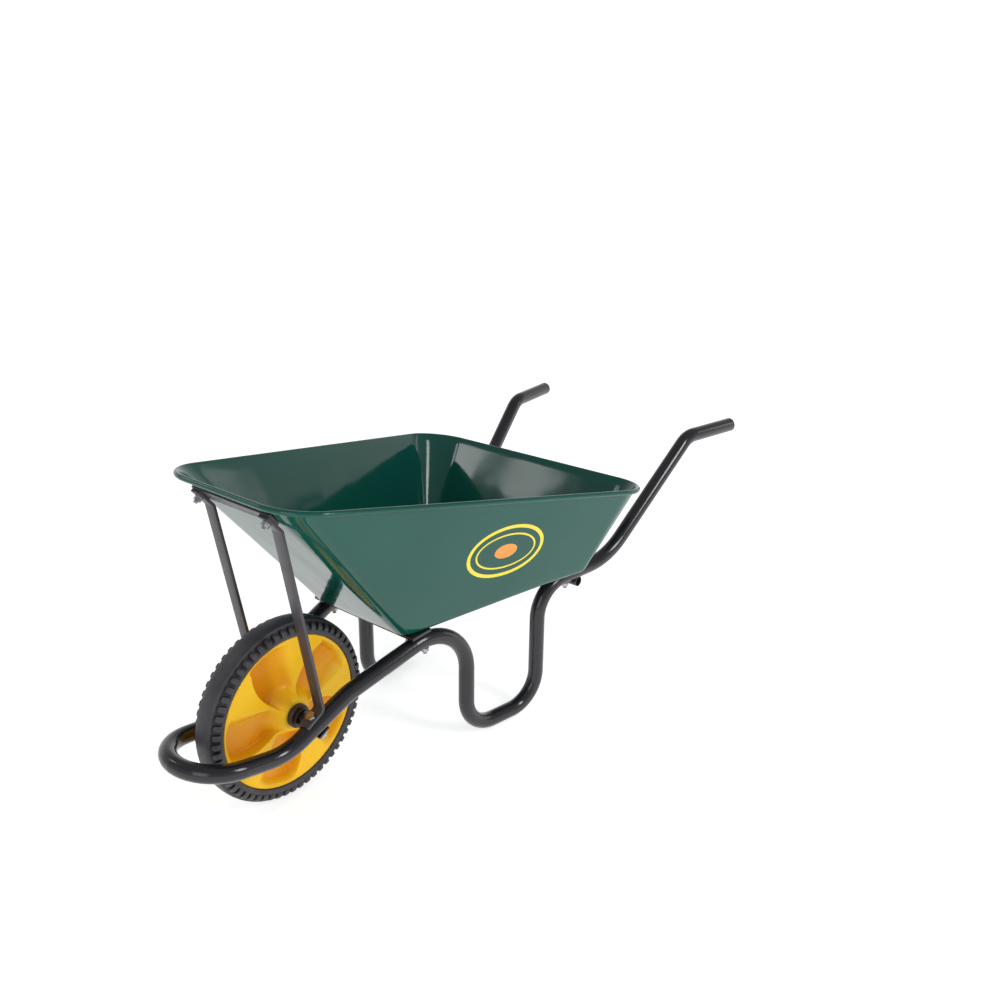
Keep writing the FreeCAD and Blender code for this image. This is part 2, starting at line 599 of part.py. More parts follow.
nodes = {
    "tray": tray,
    "left_frame_tube": left_tube,
    "right_frame_tube": right_tube,
    "front_cross_bar": front_bar,
    "rear_cross_brace": rear_brace,
    "bar_bolts": group(bar_bolts),
    "bar_bolt_washers": group(bar_washers),
    "bar_bolt_nuts": group(bar_nuts),
    "tray_bolts": group(tray_bolts),
    "tray_bolt_washers": group(tray_washers),
    "tray_bolt_nuts": group(tray_nuts),
    "left_stay": left_stay,
    "right_stay": mirrored(left_stay),
    "nose_tie_bar": tie_bar,
    "stay_top_bolts": pair(stay_bolt),
    "stay_top_washers": pair(stay_washer),
    "stay_top_nuts": pair(stay_nut),
    "left_axle_bracket": left_bracket,
    "right_axle_bracket": mirrored(left_bracket),
    "stay_foot_bolts": pair(foot_bolt),
    "stay_foot_washers": pair(foot_washer),
    "stay_foot_nuts": pair(foot_nut),
    "axle": axle,
    "axle_spacers": pair(spacer),
    "axle_nuts": pair(axle_nut),
    "wheel_centre": wheel_centre,
    "tyre": tyre,
    "left_wheel_bush": mirrored(right_bush),
    "right_wheel_bush": right_bush,
    "left_handle_plug": handle_plug(-1),
    "right_handle_plug": handle_plug(1),
}

for name, shape in nodes.items():
    for solid in shape.Solids:
        if not solid.isValid():
            print("not valid:", name)
    print(f"{name}: {len(shape.Solids)} solids, {shape.Volume / 1000:.1f} cm3")
    shape.exportStep(f"parts/{name}.step")

box = group(list(nodes.values())).BoundBox
print(f"box {box.XMin:.1f} {box.XMax:.1f}  {box.YMin:.1f} {box.YMax:.1f}  {box.ZMin:.1f} {box.ZMax:.1f}")
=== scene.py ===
import json
import math

import bmesh
import bpy
import numpy as np
from mathutils import Matrix, Vector, noise

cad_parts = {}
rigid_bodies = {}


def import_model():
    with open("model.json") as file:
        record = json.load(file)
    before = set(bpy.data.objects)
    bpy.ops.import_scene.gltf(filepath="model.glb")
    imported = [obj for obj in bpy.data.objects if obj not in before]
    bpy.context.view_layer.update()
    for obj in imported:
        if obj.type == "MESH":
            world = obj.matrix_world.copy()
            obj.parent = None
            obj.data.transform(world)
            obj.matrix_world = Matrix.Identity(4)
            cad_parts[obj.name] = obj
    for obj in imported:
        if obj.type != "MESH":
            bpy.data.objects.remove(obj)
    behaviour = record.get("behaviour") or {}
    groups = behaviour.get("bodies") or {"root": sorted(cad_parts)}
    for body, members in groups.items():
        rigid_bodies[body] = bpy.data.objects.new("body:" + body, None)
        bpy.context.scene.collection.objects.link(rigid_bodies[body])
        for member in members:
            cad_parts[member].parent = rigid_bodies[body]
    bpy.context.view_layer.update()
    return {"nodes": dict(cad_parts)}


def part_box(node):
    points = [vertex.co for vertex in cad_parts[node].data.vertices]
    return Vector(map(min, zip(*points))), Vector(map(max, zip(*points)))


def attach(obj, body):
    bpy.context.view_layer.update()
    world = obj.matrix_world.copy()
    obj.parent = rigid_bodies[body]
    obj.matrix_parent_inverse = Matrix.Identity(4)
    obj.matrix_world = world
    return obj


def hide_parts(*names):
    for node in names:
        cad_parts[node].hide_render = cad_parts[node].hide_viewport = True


for spare in list(bpy.data.objects):
    bpy.data.objects.remove(spare)

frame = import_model()

# ---------------------------------------------------------------- camera
# A camera ahead of the barrow and to its left, a little above the rim, so that it
# sees into the tray and along the side of the wheel.
CAMERA_TURN, CAMERA_LIFT, CAMERA_ROLL = math.radians(-49.781), math.radians(19.08), math.radians(0.4415)
CAMERA_AIM, CAMERA_DISTANCE = Vector((0.0860, 0.0, 0.4681)), 2.0547
SENSOR_WIDTH, FOCAL_LENGTH = 36.0, 34.67
FRAMING_SHIFT = (0.0229, -0.0182)
sideways = Vector((math.cos(CAMERA_TURN), math.sin(CAMERA_TURN), 0.0))
backwards = Vector((math.sin(CAMERA_TURN) * math.cos(CAMERA_LIFT),
                    -math.cos(CAMERA_TURN) * math.cos(CAMERA_LIFT), math.sin(CAMERA_LIFT)))
upwards = backwards.cross(sideways)
camera_x = sideways * math.cos(CAMERA_ROLL) + upwards * math.sin(CAMERA_ROLL)
camera_y = upwards * math.cos(CAMERA_ROLL) - sideways * math.sin(CAMERA_ROLL)
camera_place = CAMERA_AIM + backwards * CAMERA_DISTANCE
camera_data = bpy.data.cameras.new("studio_camera")
camera_data.sensor_width = SENSOR_WIDTH
camera_data.lens = FOCAL_LENGTH
camera_data.shift_x, camera_data.shift_y = FRAMING_SHIFT
camera = bpy.data.objects.new("studio_camera", camera_data)
camera.matrix_world = Matrix((
    (camera_x.x, camera_y.x, backwards.x, camera_place.x),
    (camera_x.y, camera_y.y, backwards.y, camera_place.y),
    (camera_x.z, camera_y.z, backwards.z, camera_place.z),
    (0.0, 0.0, 0.0, 1.0)))
bpy.context.scene.collection.objects.link(camera)
bpy.context.scene.camera = camera


# ---------------------------------------------------------------- studio
# A softly glowing white floor and a white backdrop behind the barrow, in a dimmer room. The
# key light is high on the left, two small lights are mirrored in the tray's rear wall, and
# one at each end lights the wheel and the handles.
def new_object(name, mesh, smooth_below=None):
    """An object on that mesh; edges that turn by less than smooth_below degrees are shaded smooth."""
    made = bpy.data.objects.new(name, mesh)
    bpy.context.scene.collection.objects.link(made)
    if smooth_below is not None:
        mesh.polygons.foreach_set("use_smooth", [True] * len(mesh.polygons))
        mesh.set_sharp_from_angle(angle=math.radians(smooth_below))
    return made


def node(tree, kind, **settings):
    """A new node in that tree, with its own settings already set."""
    made = tree.nodes.new(kind)
    for key, value in settings.items():
        setattr(made, key, value)
    return made


def join(tree, outlet, inlet):
    tree.links.new(outlet, inlet)


FLOOR_REACH, FLOOR_GLOW = 30.0, 0.62
floor_material = bpy.data.materials.new("studio_floor")
floor_material.use_nodes = True
floor_tree = floor_material.node_tree
floor_shader = floor_tree.nodes["Principled BSDF"]
floor_shader.inputs["Roughness"].default_value = 0.5
floor_place = node(floor_tree, "ShaderNodeTexCoord")
floor_noise = node(floor_tree, "ShaderNodeTexNoise")
floor_noise.inputs["Scale"].default_value = 3.0
floor_tint = node(floor_tree, "ShaderNodeMix", data_type="RGBA")
floor_tint.inputs["A"].default_value = (0.90, 0.90, 0.905, 1.0)
floor_tint.inputs["B"].default_value = (0.93, 0.93, 0.93, 1.0)
join(floor_tree, floor_place.outputs["Object"], floor_noise.inputs["Vector"])
join(floor_tree, floor_noise.outputs["Fac"], floor_tint.inputs["Factor"])
join(floor_tree, floor_tint.outputs["Result"], floor_shader.inputs["Base Color"])
floor_shader.inputs["Emission Color"].default_value = (1.0, 1.0, 1.0, 1.0)
floor_shader.inputs["Emission Strength"].default_value = FLOOR_GLOW

floor_mesh = bpy.data.meshes.new("studio_floor")
floor_mesh.from_pydata(
    [(-FLOOR_REACH, -FLOOR_REACH, 0), (FLOOR_REACH, -FLOOR_REACH, 0),
     (FLOOR_REACH, FLOOR_REACH, 0), (-FLOOR_REACH, FLOOR_REACH, 0)], [], [(0, 1, 2, 3)])
floor_mesh.materials.append(floor_material)
floor = new_object("studio_floor", floor_mesh)

# The backdrop stands low behind the barrow, on the side away from the camera. It fades upwards
# and sideways into the dimmer room.
BACKDROP_SIDE = (0.76, 0.65, 0.0)
BACKDROP_TOP, BACKDROP_FULL = 0.70, 0.12
BACKDROP_EDGE, BACKDROP_MIDDLE = 0.10, 0.70
OPPOSITE_SHARE = 0.38
ROOM_DIM, BACKDROP_BRIGHT = 0.36, 1.15
room = bpy.data.worlds.new("white_room")
bpy.context.scene.world = room
room.use_nodes = True
room.node_tree.nodes["Background"].inputs["Color"].default_value = (1.0, 1.0, 1.0, 1.0)
room_tree = room.node_tree
sky = node(room_tree, "ShaderNodeTexCoord").outputs["Generated"]
sky_height = node(room_tree, "ShaderNodeSeparateXYZ")
behind = node(room_tree, "ShaderNodeVectorMath", operation="DOT_PRODUCT")
behind.inputs[1].default_value = BACKDROP_SIDE
low_share = node(room_tree, "ShaderNodeMapRange", interpolation_type="SMOOTHSTEP")
low_share.inputs["From Min"].default_value = BACKDROP_TOP
low_share.inputs["From Max"].default_value = BACKDROP_FULL
behind_share = node(room_tree, "ShaderNodeMapRange", interpolation_type="SMOOTHSTEP")
behind_share.inputs["From Min"].default_value = BACKDROP_EDGE
behind_share.inputs["From Max"].default_value = BACKDROP_MIDDLE
behind_share.inputs["To Min"].default_value = OPPOSITE_SHARE
backdrop = node(room_tree, "ShaderNodeMath", operation="MULTIPLY")
room_shade = node(room_tree, "ShaderNodeMapRange")
room_shade.inputs["To Min"].default_value = ROOM_DIM
room_shade.inputs["To Max"].default_value = BACKDROP_BRIGHT
join(room_tree, sky, sky_height.inputs[0])
join(room_tree, sky, behind.inputs[0])
join(room_tree, sky_height.outputs["Z"], low_share.inputs["Value"])
join(room_tree, behind.outputs["Value"], behind_share.inputs["Value"])
join(room_tree, low_share.outputs["Result"], backdrop.inputs[0])
join(room_tree, behind_share.outputs["Result"], backdrop.inputs[1])
join(room_tree, backdrop.outputs["Value"], room_shade.inputs["Value"])
join(room_tree, room_shade.outputs["Result"], room_tree.nodes["Background"].inputs["Strength"])


def soft_light(name, place, aim, size, power):
    """A lamp of that width and height, turned from its place towards its aim."""
    lamp = bpy.data.lights.new(name, "AREA")
    lamp.shape = "RECTANGLE"
    lamp.size, lamp.size_y = size
    lamp.energy = power
    holder = bpy.data.objects.new(name, lamp)
    holder.location = place
    holder.rotation_euler = (Vector(place) - Vector(aim)).to_track_quat("Z", "Y").to_euler()
    bpy.context.scene.collection.objects.link(holder)


soft_light("key_light", place=(0.3, -2.1, 1.55), aim=(0.0, 0.0, 0.35), size=(0.5, 0.9), power=15.0)
soft_light("rear_wall_light", place=(-1.15, 1.74, 1.67), aim=(0.27, 0.2, 0.45), size=(0.22, 0.32),
           power=1.3)
soft_light("rear_wall_second_light", place=(-1.25, 1.36, 1.70), aim=(0.26, 0.0, 0.43), size=(0.26, 0.26),
           power=1.0)
soft_light("wheel_side_light", place=(-2.9, -1.2, 1.4), aim=(-0.3, 0.0, 0.3), size=(1.4, 1.8), power=12.0)
soft_light("handle_side_light", place=(2.3, -1.6, 0.9), aim=(-0.1, 0.2, 0.45), size=(0.3, 1.4), power=2.5)
bpy.context.scene.view_settings.view_transform = "Standard"


# ---------------------------------------------------------------- tray
# One sheet of 1.5 mm steel, deep drawn with slanting walls and rounded corners. Its edge
# is rolled outwards into a bead, and it is dipped in a deep green gloss enamel.
def finish(name, colour, second, patch, rough, grain, relief, metallic=0.0, coat=0.0, edge=None):
    """A finish on object coordinates: two colours in soft patches of the size patch, a roughness
    that wanders between two values, and a fine relief of that grain size and height, in metres.
    edge is the colour that shows where corners are rubbed, and its strength, from 0 to 1."""
    made = bpy.data.materials.new(name)
    made.use_nodes = True
    tree = made.node_tree
    shader = tree.nodes["Principled BSDF"]
    shader.inputs["Metallic"].default_value = metallic
    shader.inputs["Coat Weight"].default_value = coat
    shader.inputs["Coat Roughness"].default_value = 0.04
    place = node(tree, "ShaderNodeTexCoord").outputs["Object"]
    patches = node(tree, "ShaderNodeTexNoise")
    patches.inputs["Scale"].default_value = 1.0 / patch
    patches.inputs["Detail"].default_value = 4.0
    join(tree, place, patches.inputs["Vector"])
    tint = node(tree, "ShaderNodeMix", data_type="RGBA")
    tint.inputs["A"].default_value = (*colour, 1.0)
    tint.inputs["B"].default_value = (*second, 1.0)
    spread = node(tree, "ShaderNodeMapRange")
    spread.inputs["From Min"].default_value = 0.35
    spread.inputs["From Max"].default_value = 0.65
    join(tree, patches.outputs["Fac"], spread.inputs["Value"])
    join(tree, spread.outputs["Result"], tint.inputs["Factor"])
    colour_out = tint.outputs["Result"]
    if edge:
        curve = node(tree, "ShaderNodeNewGeometry")
        worn = node(tree, "ShaderNodeMapRange")
        worn.inputs["From Min"].default_value = 0.56
        worn.inputs["From Max"].default_value = 0.70
        worn.inputs["To Max"].default_value = edge[1]
        rubbed = node(tree, "ShaderNodeMix", data_type="RGBA")
        rubbed.inputs["B"].default_value = (*edge[0], 1.0)
        join(tree, curve.outputs["Pointiness"], worn.inputs["Value"])
        join(tree, worn.outputs["Result"], rubbed.inputs["Factor"])
        join(tree, colour_out, rubbed.inputs["A"])
        colour_out = rubbed.outputs["Result"]
    join(tree, colour_out, shader.inputs["Base Color"])
    sheen = node(tree, "ShaderNodeTexNoise")
    sheen.inputs["Scale"].default_value = 3.0 / patch
    sheen.inputs["Detail"].default_value = 6.0
    join(tree, place, sheen.inputs["Vector"])
    roughness = node(tree, "ShaderNodeMapRange")
    roughness.inputs["From Min"].default_value = 0.3
    roughness.inputs["From Max"].default_value = 0.7
    roughness.inputs["To Min"].default_value = rough[0]
    roughness.inputs["To Max"].default_value = rough[1]
    join(tree, sheen.outputs["Fac"], roughness.inputs["Value"])
    join(tree, roughness.outputs["Result"], shader.inputs["Roughness"])
    fine = node(tree, "ShaderNodeTexNoise")
    fine.inputs["Scale"].default_value = 1.0 / grain
    fine.inputs["Detail"].default_value = 3.0
    join(tree, place, fine.inputs["Vector"])
    bump = node(tree, "ShaderNodeBump")
    bump.inputs["Strength"].default_value = 1.0
    bump.inputs["Distance"].default_value = relief
    join(tree, fine.outputs["Fac"], bump.inputs["Height"])
    join(tree, bump.outputs["Normal"], shader.inputs["Normal"])
    return made


def paint_hollow_shade(material, attribute, colour, strength):
    """Paints shade into a finish: tints it towards colour where the mesh's attribute of that name is high.
    """
    tree = material.node_tree
    shader = tree.nodes["Principled BSDF"]
    mark = node(tree, "ShaderNodeAttribute", attribute_name=attribute)
    share = node(tree, "ShaderNodeMath", operation="MULTIPLY")
    share.inputs[1].default_value = strength
    tint = node(tree, "ShaderNodeMix", data_type="RGBA")
    tint.inputs["B"].default_value = (*colour, 1.0)
    plain = shader.inputs["Base Color"].links[0].from_socket
    join(tree, mark.outputs["Fac"], share.inputs[0])
    join(tree, share.outputs["Value"], tint.inputs["Factor"])
    join(tree, plain, tint.inputs["A"])
    join(tree, tint.outputs["Result"], shader.inputs["Base Color"])


green_enamel = finish("green_enamel", (0.003, 0.074, 0.056), (0.004, 0.083, 0.063), patch=0.25,
                      rough=(0.07, 0.12), grain=0.006, relief=0.00001, edge=((0.05, 0.15, 0.12), 0.5))
green_enamel.node_tree.nodes["Principled BSDF"].inputs["Specular IOR Level"].default_value = 0.38


def mm(x, y, z):
    return Vector((x, y, z)) * 0.001


# WALL_LEVEL is the sheet's thickness measured level, across a slanting wall.
SHEET, WALL_LEVEL = 0.0015, 0.0018
BEAD, BEAD_INSET, BEAD_CURL = 0.005, 0.003, math.radians(300.0)
FLOOR_ROUND = 0.0165
CORNER_STEPS, CURL_STEPS = 20, 14
FLOOR_UP = Vector((-0.0443, 0.0, 1.0)).normalized()
RIM_CORNER, FLOOR_CORNER = 0.081, 0.026
rim_front, rim_rear = mm(-552, 170.5, 615.5), mm(292.5, 322, 471)
floor_front, floor_rear = mm(-266, 123.4, 280.14), mm(185, 236, 300.12)


def four_corners(front, rear, inset):
    """Corners of one level of the tray, anticlockwise from the left front, drawn in by inset."""
    return [Vector((front.x + inset, inset - front.y, front.z)),
            Vector((rear.x - inset, inset - rear.y, rear.z)),
            Vector((rear.x - inset, rear.y - inset, rear.z)),
            Vector((front.x + inset, front.y - inset, front.z))]


def rounded_loop(corners, radius, side_steps):
    """Points round four corners; each side is stepped evenly between its two corner arcs."""
    arcs = []
    for i in range(4):
        before = (corners[i - 1] - corners[i]).normalized()
        after = (corners[(i + 1) % 4] - corners[i]).normalized()
        half = before.angle(after) / 2
        start = corners[i] + before * (radius / math.tan(half))
        end = corners[i] + after * (radius / math.tan(half))
        centre = corners[i] + (before + after).normalized() * (radius / math.sin(half))
        sweep = math.pi - 2 * half
        arcs.append([centre + ((start - centre) * math.sin(sweep * (1 - k / CORNER_STEPS))
                               + (end - centre) * math.sin(sweep * k / CORNER_STEPS)) / math.sin(sweep)
                     for k in range(CORNER_STEPS + 1)])
    loop = []
    for i in range(4):
        loop += arcs[i]
        a, b = arcs[i][-1], arcs[(i + 1) % 4][0]
        steps = side_steps[i % 2]
        loop += [a.lerp(b, k / steps) for k in range(1, steps)]
    return loop


def grid_mesh(name, loops, caps=(), closed_profile=False):
    """Quads between loops of equal length, each loop closed; caps are loops to fill with one face."""
    count = len(loops[0])
    points = [p for loop in loops for p in loop]
    rows = len(loops) if closed_profile else len(loops) - 1
    faces = []
    for j in range(rows):
        k = (j + 1) % len(loops)
        for i in range(count):
            n = (i + 1) % count
            faces.append((j * count + i, j * count + n, k * count + n, k * count + i))
    for j in caps:
        faces.append(tuple(j * count + i for i in range(count)))
    mesh = bpy.data.meshes.new(name)
    mesh.from_pydata(points, [], faces)
    mesh.validate()
    mesh.update()
    return mesh


def facing_out(mesh):
    """Merges the mesh's doubled points and turns its faces outwards."""
    work = bmesh.new()
    work.from_mesh(mesh)
    bmesh.ops.remove_doubles(work, verts=work.verts, dist=0.00001)
    bmesh.ops.recalc_face_normals(work, faces=work.faces)
    work.to_mesh(mesh)
    work.free()
    return mesh


def with_marks(mesh, name, values):
    """Stores one value per vertex under that name, for a finish that paints shade by it."""
    marks = mesh.attributes.new(name, "FLOAT", "POINT")
    marks.data.foreach_set("value", values)
    return mesh


SIDE_STEPS = (60, 34)
inner_low = rounded_loop(
    four_corners(floor_front + FLOOR_UP * SHEET, floor_rear + FLOOR_UP * SHEET, WALL_LEVEL),
    FLOOR_CORNER - WALL_LEVEL, SIDE_STEPS)
inner_high = rounded_loop(four_corners(rim_front, rim_rear, BEAD_INSET + WALL_LEVEL),
                          RIM_CORNER - WALL_LEVEL, SIDE_STEPS)
# The wall has a row of points at each of these shares of its height.
WALL_LEVELS = [0.0, 0.08, 0.17, 0.27, 0.38, 0.5, 0.62, 0.73, 0.83, 0.92]
FLOOR_TURNS = 8
WAVE_HEIGHT, WAVES_ACROSS, WAVES_UP = 0.0011, 9.0, 1.6
RIPPLE_HEIGHT, RIPPLES_ACROSS, RIPPLES_UP = 0.00045, 24.0, 3.0
RIPPLE_START = 7.0


def drawn_wave(place, facing):
    """The shallow waves that drawing leaves in the walls, which run up and down the sheet."""
    wave = noise.noise(Vector((place.x * WAVES_ACROSS, place.y * WAVES_ACROSS, place.z * WAVES_UP)))
    ripple = noise.noise(Vector((place.x * RIPPLES_ACROSS + RIPPLE_START, place.y * RIPPLES_ACROSS,
                                 place.z * RIPPLES_UP)))
    return facing * (wave * WAVE_HEIGHT + ripple * RIPPLE_HEIGHT)


# Each column of the sheet runs from the floor round its edge, up the wall and round the bead.
columns = []
count = len(inner_low)
for i in range(count):
    low, high = inner_low[i], inner_high[i]
    along_wall = (high - low).normalized()
    flat_out = (along_wall - FLOOR_UP * along_wall.dot(FLOOR_UP)).normalized()
    bend = flat_out.angle(along_wall)
    reach = FLOOR_ROUND * math.tan(bend / 2)
    centre = low - flat_out * reach + FLOOR_UP * FLOOR_ROUND
    column = []
    for k in range(FLOOR_TURNS + 1):
        angle = bend * k / FLOOR_TURNS
        column.append(centre + (flat_out * math.sin(angle) - FLOOR_UP * math.cos(angle)) * FLOOR_ROUND)
    tangent = (inner_high[(i + 1) % count] - inner_high[i - 1]).normalized()
    outward = tangent.cross(Vector((0, 0, 1))).normalized()
    rim_up = outward.cross(tangent).normalized()
    if rim_up.z < 0:
        rim_up = -rim_up
    section = (outward * along_wall.dot(outward) + rim_up * along_wall.dot(rim_up)).normalized()
    inside = rim_up * section.dot(outward) - outward * section.dot(rim_up)
    bead_centre = high + outward * (BEAD_INSET + WALL_LEVEL)
    foot, head = column[-1], bead_centre + inside * BEAD
    for share in WALL_LEVELS[1:]:
        spot = foot.lerp(head, share)
        swell = math.sin(math.pi * min(1.0, share / WALL_LEVELS[-1])) ** 0.5
        column.append(spot + drawn_wave(spot, inside) * swell)
    column.append(head)
    for k in range(1, CURL_STEPS + 1):
        angle = BEAD_CURL * k / CURL_STEPS
        column.append(bead_centre + (inside * math.cos(angle) + section * math.sin(angle)) * BEAD)
    columns.append(column)

# The faces are the tray's inside, so they point inwards and the sheet is thickened behind them.
tray_mesh = grid_mesh("tray_pressing", list(zip(*columns)), caps=(0,))
tray_sheet = new_object("tray_pressing", tray_mesh)
tray_work = bmesh.new()
tray_work.from_mesh(tray_mesh)
bmesh.ops.recalc_face_normals(tray_work, faces=tray_work.faces)
floor_face = max(tray_work.faces, key=lambda face: face.calc_area())
if floor_face.normal.z < 0:
    bmesh.ops.reverse_faces(tray_work, faces=tray_work.faces)
tray_work.to_mesh(tray_mesh)
tray_work.free()
thicken = tray_sheet.modifiers.new("sheet", "SOLIDIFY")
thicken.thickness = SHEET
thicken.offset = -1.0
thicken.use_even_offset = False


def made_plain(thing, name, smooth_below=None):
    """The evaluated result as a plain object; the object it was made from is removed."""
    evaluated = thing.evaluated_get(bpy.context.evaluated_depsgraph_get())
    result = bpy.data.meshes.new_from_object(evaluated)
    bpy.data.objects.remove(thing)
    result.name = name
    return new_object(name, result, smooth_below)


tray = made_plain(tray_sheet, "pressed_tray", 40)
tray.data.materials.append(green_enamel)
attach(tray, "frame")
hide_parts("tray")

# ---------------------------------------------------------------- tray badge
# A printed badge on the left wall, two plain yellow rings round an orange dot. It is a
# transfer of paint thickness, put on over the enamel.
badge_yellow = finish("badge_yellow", (0.90, 0.72, 0.05), (0.86, 0.68, 0.04), patch=0.03,
                      rough=(0.3, 0.4), grain=0.001, relief=0.00001)
badge_orange = finish("badge_orange", (0.85, 0.33, 0.05), (0.80, 0.30, 0.04), patch=0.03,
                      rough=(0.3, 0.4), grain=0.001, relief=0.00001)
outer_low = four_corners(floor_front, floor_rear, 0.0)
outer_high = four_corners(rim_front, rim_rear, BEAD_INSET)
BADGE_LIFT = 0.0002
BADGE_ALONG, BADGE_UP, BADGE_STEP = 0.51, 0.52, 0.05
BADGE_TURNS, BADGE_BANDS = 96, 4


def on_left_wall(along, up):
    """A point on the outside of the left wall, from shares of its length and height."""
    low = outer_low[0].lerp(outer_low[1], along)
    high = outer_high[0].lerp(outer_high[1], along)
    return low.lerp(high, up)


badge_centre = on_left_wall(BADGE_ALONG, BADGE_UP)
badge_x = (on_left_wall(BADGE_ALONG + BADGE_STEP, BADGE_UP) - badge_centre).normalized()
badge_up = (on_left_wall(BADGE_ALONG, BADGE_UP + BADGE_STEP) - badge_centre).normalized()
badge_out = badge_x.cross(badge_up).normalized()
badge_y = badge_out.cross(badge_x).normalized()


def onto_tray(point):
    """The place where a line through point, square to the badge, meets the tray's outside."""
    hit, place, _, _ = tray.ray_cast(point + badge_out * BADGE_STEP, -badge_out)
    return (place if hit else point) + badge_out * BADGE_LIFT


def badge_band(name, inner, outer, material):
    """A flat oval ring; inner and outer hold its half width and half height at each edge."""
    rings = []
    for k in range(BADGE_BANDS + 1):
        share = k / BADGE_BANDS
        wide = inner[0] + (outer[0] - inner[0]) * share
        tall = inner[1] + (outer[1] - inner[1]) * share
        ring = []
        for s in range(BADGE_TURNS):
            angle = 2 * math.pi * s / BADGE_TURNS
            spot = badge_centre + badge_x * wide * math.cos(angle) + badge_y * tall * math.sin(angle)
            ring.append(onto_tray(spot))
        rings.append(ring)
    band = new_object(name, grid_mesh(name, rings), 40)
    band.data.flip_normals()
    band.data.materials.append(material)
    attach(band, "frame")


badge_band("badge_ring", inner=(0.084, 0.054), outer=(0.092, 0.062), material=badge_yellow)
badge_band("badge_inner_ring", inner=(0.068, 0.038), outer=(0.072, 0.042), material=badge_yellow)
badge_band("badge_dot", inner=(0.0002, 0.0002), outer=(0.027, 0.017), material=badge_orange)

# ---------------------------------------------------------------- frame tubes
# Two lengths of 32 mm steel tube, each bent in one run from the nose hoop through the
# leg to the handle, and enamelled black. The grips are the bare enamelled tube.
black_enamel = finish("black_enamel", (0.010, 0.009, 0.013), (0.014, 0.013, 0.018), patch=0.12,
                      rough=(0.12, 0.20), grain=0.005, relief=0.00002, coat=0.1,
                      edge=((0.05, 0.05, 0.055), 0.4))


def refinish(name, material):
    """The CAD node keeps its shape and takes this finish."""
    slots = frame["nodes"][name].data.materials
    slots.clear()
    slots.append(material)


for name in ("left_frame_tube", "right_frame_tube", "rear_cross_brace"):
    refinish(name, black_enamel)


# ---------------------------------------------------------------- cross bar, brackets and stays
# Flat steel bar, cut and bent cold, its arrises broken before painting. The cross bar
# and the axle brackets have the frame's enamel, the stays and the tie bar a satin one.
satin_black = finish("satin_black", (0.040, 0.037, 0.043), (0.052, 0.048, 0.056), patch=0.05,
                     rough=(0.30, 0.42), grain=0.002, relief=0.00004, edge=((0.10, 0.095, 0.105), 0.6))


def broken_edges(name, piece_name, edge, material):
    """A copy of a CAD node with its sharp edges rounded, which stands for that node."""
    copy = frame["nodes"][name].data.copy()
    copy.materials.clear()
    work = bmesh.new()
    work.from_mesh(copy)
    bmesh.ops.remove_doubles(work, verts=work.verts, dist=0.00001)
    bmesh.ops.dissolve_limit(work, angle_limit=math.radians(1.0), verts=work.verts, edges=work.edges)
    sharp = [e for e in work.edges if e.is_manifold and e.calc_face_angle(0.0) > math.radians(35)]
    bmesh.ops.bevel(work, geom=sharp, offset=edge, segments=2, profile=0.6, affect="EDGES",
                    clamp_overlap=True)
    work.to_mesh(copy)
    work.free()
    if copy.has_custom_normals:
        copy.attributes.remove(copy.attributes["custom_normal"])
    copy.name = piece_name
    piece = new_object(piece_name, copy, 30)
    copy.materials.append(material)
    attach(piece, "frame")
    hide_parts(name)


BAR_EDGE, PLATE_EDGE = 0.0009, 0.0006
for name in ("left_stay", "right_stay", "nose_tie_bar"):
    broken_edges(name, name + "_bar", BAR_EDGE, satin_black)
for name in ("front_cross_bar", "left_axle_bracket", "right_axle_bracket"):
    broken_edges(name, name + "_plate", PLATE_EDGE, black_enamel)


# ---------------------------------------------------------------- bolts, nuts and washers
# Zinc plated steel. The bolts that hold the tray and the stays' tops have low cup heads,
# those through the stays' feet have hexagon heads, and those in the cross bar are sunk flush.
zinc_plate = finish("zinc_plate", (0.42, 0.42, 0.45), (0.32, 0.32, 0.35), patch=0.01, rough=(0.22, 0.42),
                    grain=0.0008, relief=0.00002, metallic=1.0, edge=((0.8, 0.8, 0.8), 0.5))


def loose_solids(name):
    """Vertices of each separate solid of a CAD node."""
    work = bmesh.new()
    work.from_mesh(frame["nodes"][name].data)
    bmesh.ops.remove_doubles(work, verts=work.verts, dist=0.00001)
    seen, found = set(), []
    for first in work.verts:
        if first in seen:
            continue
        seen.add(first)
        stack, group = [first], []
        while stack:
            spot = stack.pop()
            group.append(spot.co.copy())
            for link in spot.link_edges:
                other = link.other_vert(spot)
                if other not in seen:
                    seen.add(other)
                    stack.append(other)
        found.append(group)
    work.free()
    return found


def seat_of(points, long):
    """Middle, axis, half length and radius of a turned piece; long says that its axis is its
    longest direction. The axis points away from the wider end."""
    spots = np.array([tuple(p) for p in points])
    middle = (spots.max(0) + spots.min(0)) / 2
    _, _, axes = np.linalg.svd(spots - spots.mean(0))
    axis = axes[0] if long else axes[2]
    along = (spots - middle) @ axis
    radial = np.linalg.norm(spots - middle - np.outer(along, axis), axis=1)
    middle = middle + axis * (along.max() + along.min()) / 2
    along = (spots - middle) @ axis
    off = spots - middle - np.outer(along, axis)
    middle = middle + (off.max(0) + off.min(0)) / 2
    half = (along.max() - along.min()) / 2
    if radial[along > 0].max() > radial[along < 0].max() + 0.0001:
        axis = -axis
    return Vector(middle), Vector(axis), float(half), float(radial.max())


TURN_STEPS = 48


def turned(profile, steps=TURN_STEPS, shape=None):
    """The rings of a piece turned about Z from (radius, z) points; shape may change each point."""
    loops = []
    for radius, z in profile:
        ring = []
        for s in range(steps):
            angle = 2 * math.pi * s / steps
            r, h = (radius, z) if shape is None else shape(radius, z, angle)
            ring.append(Vector((r * math.cos(angle), r * math.sin(angle), h)))
        loops.append(ring)
    return loops


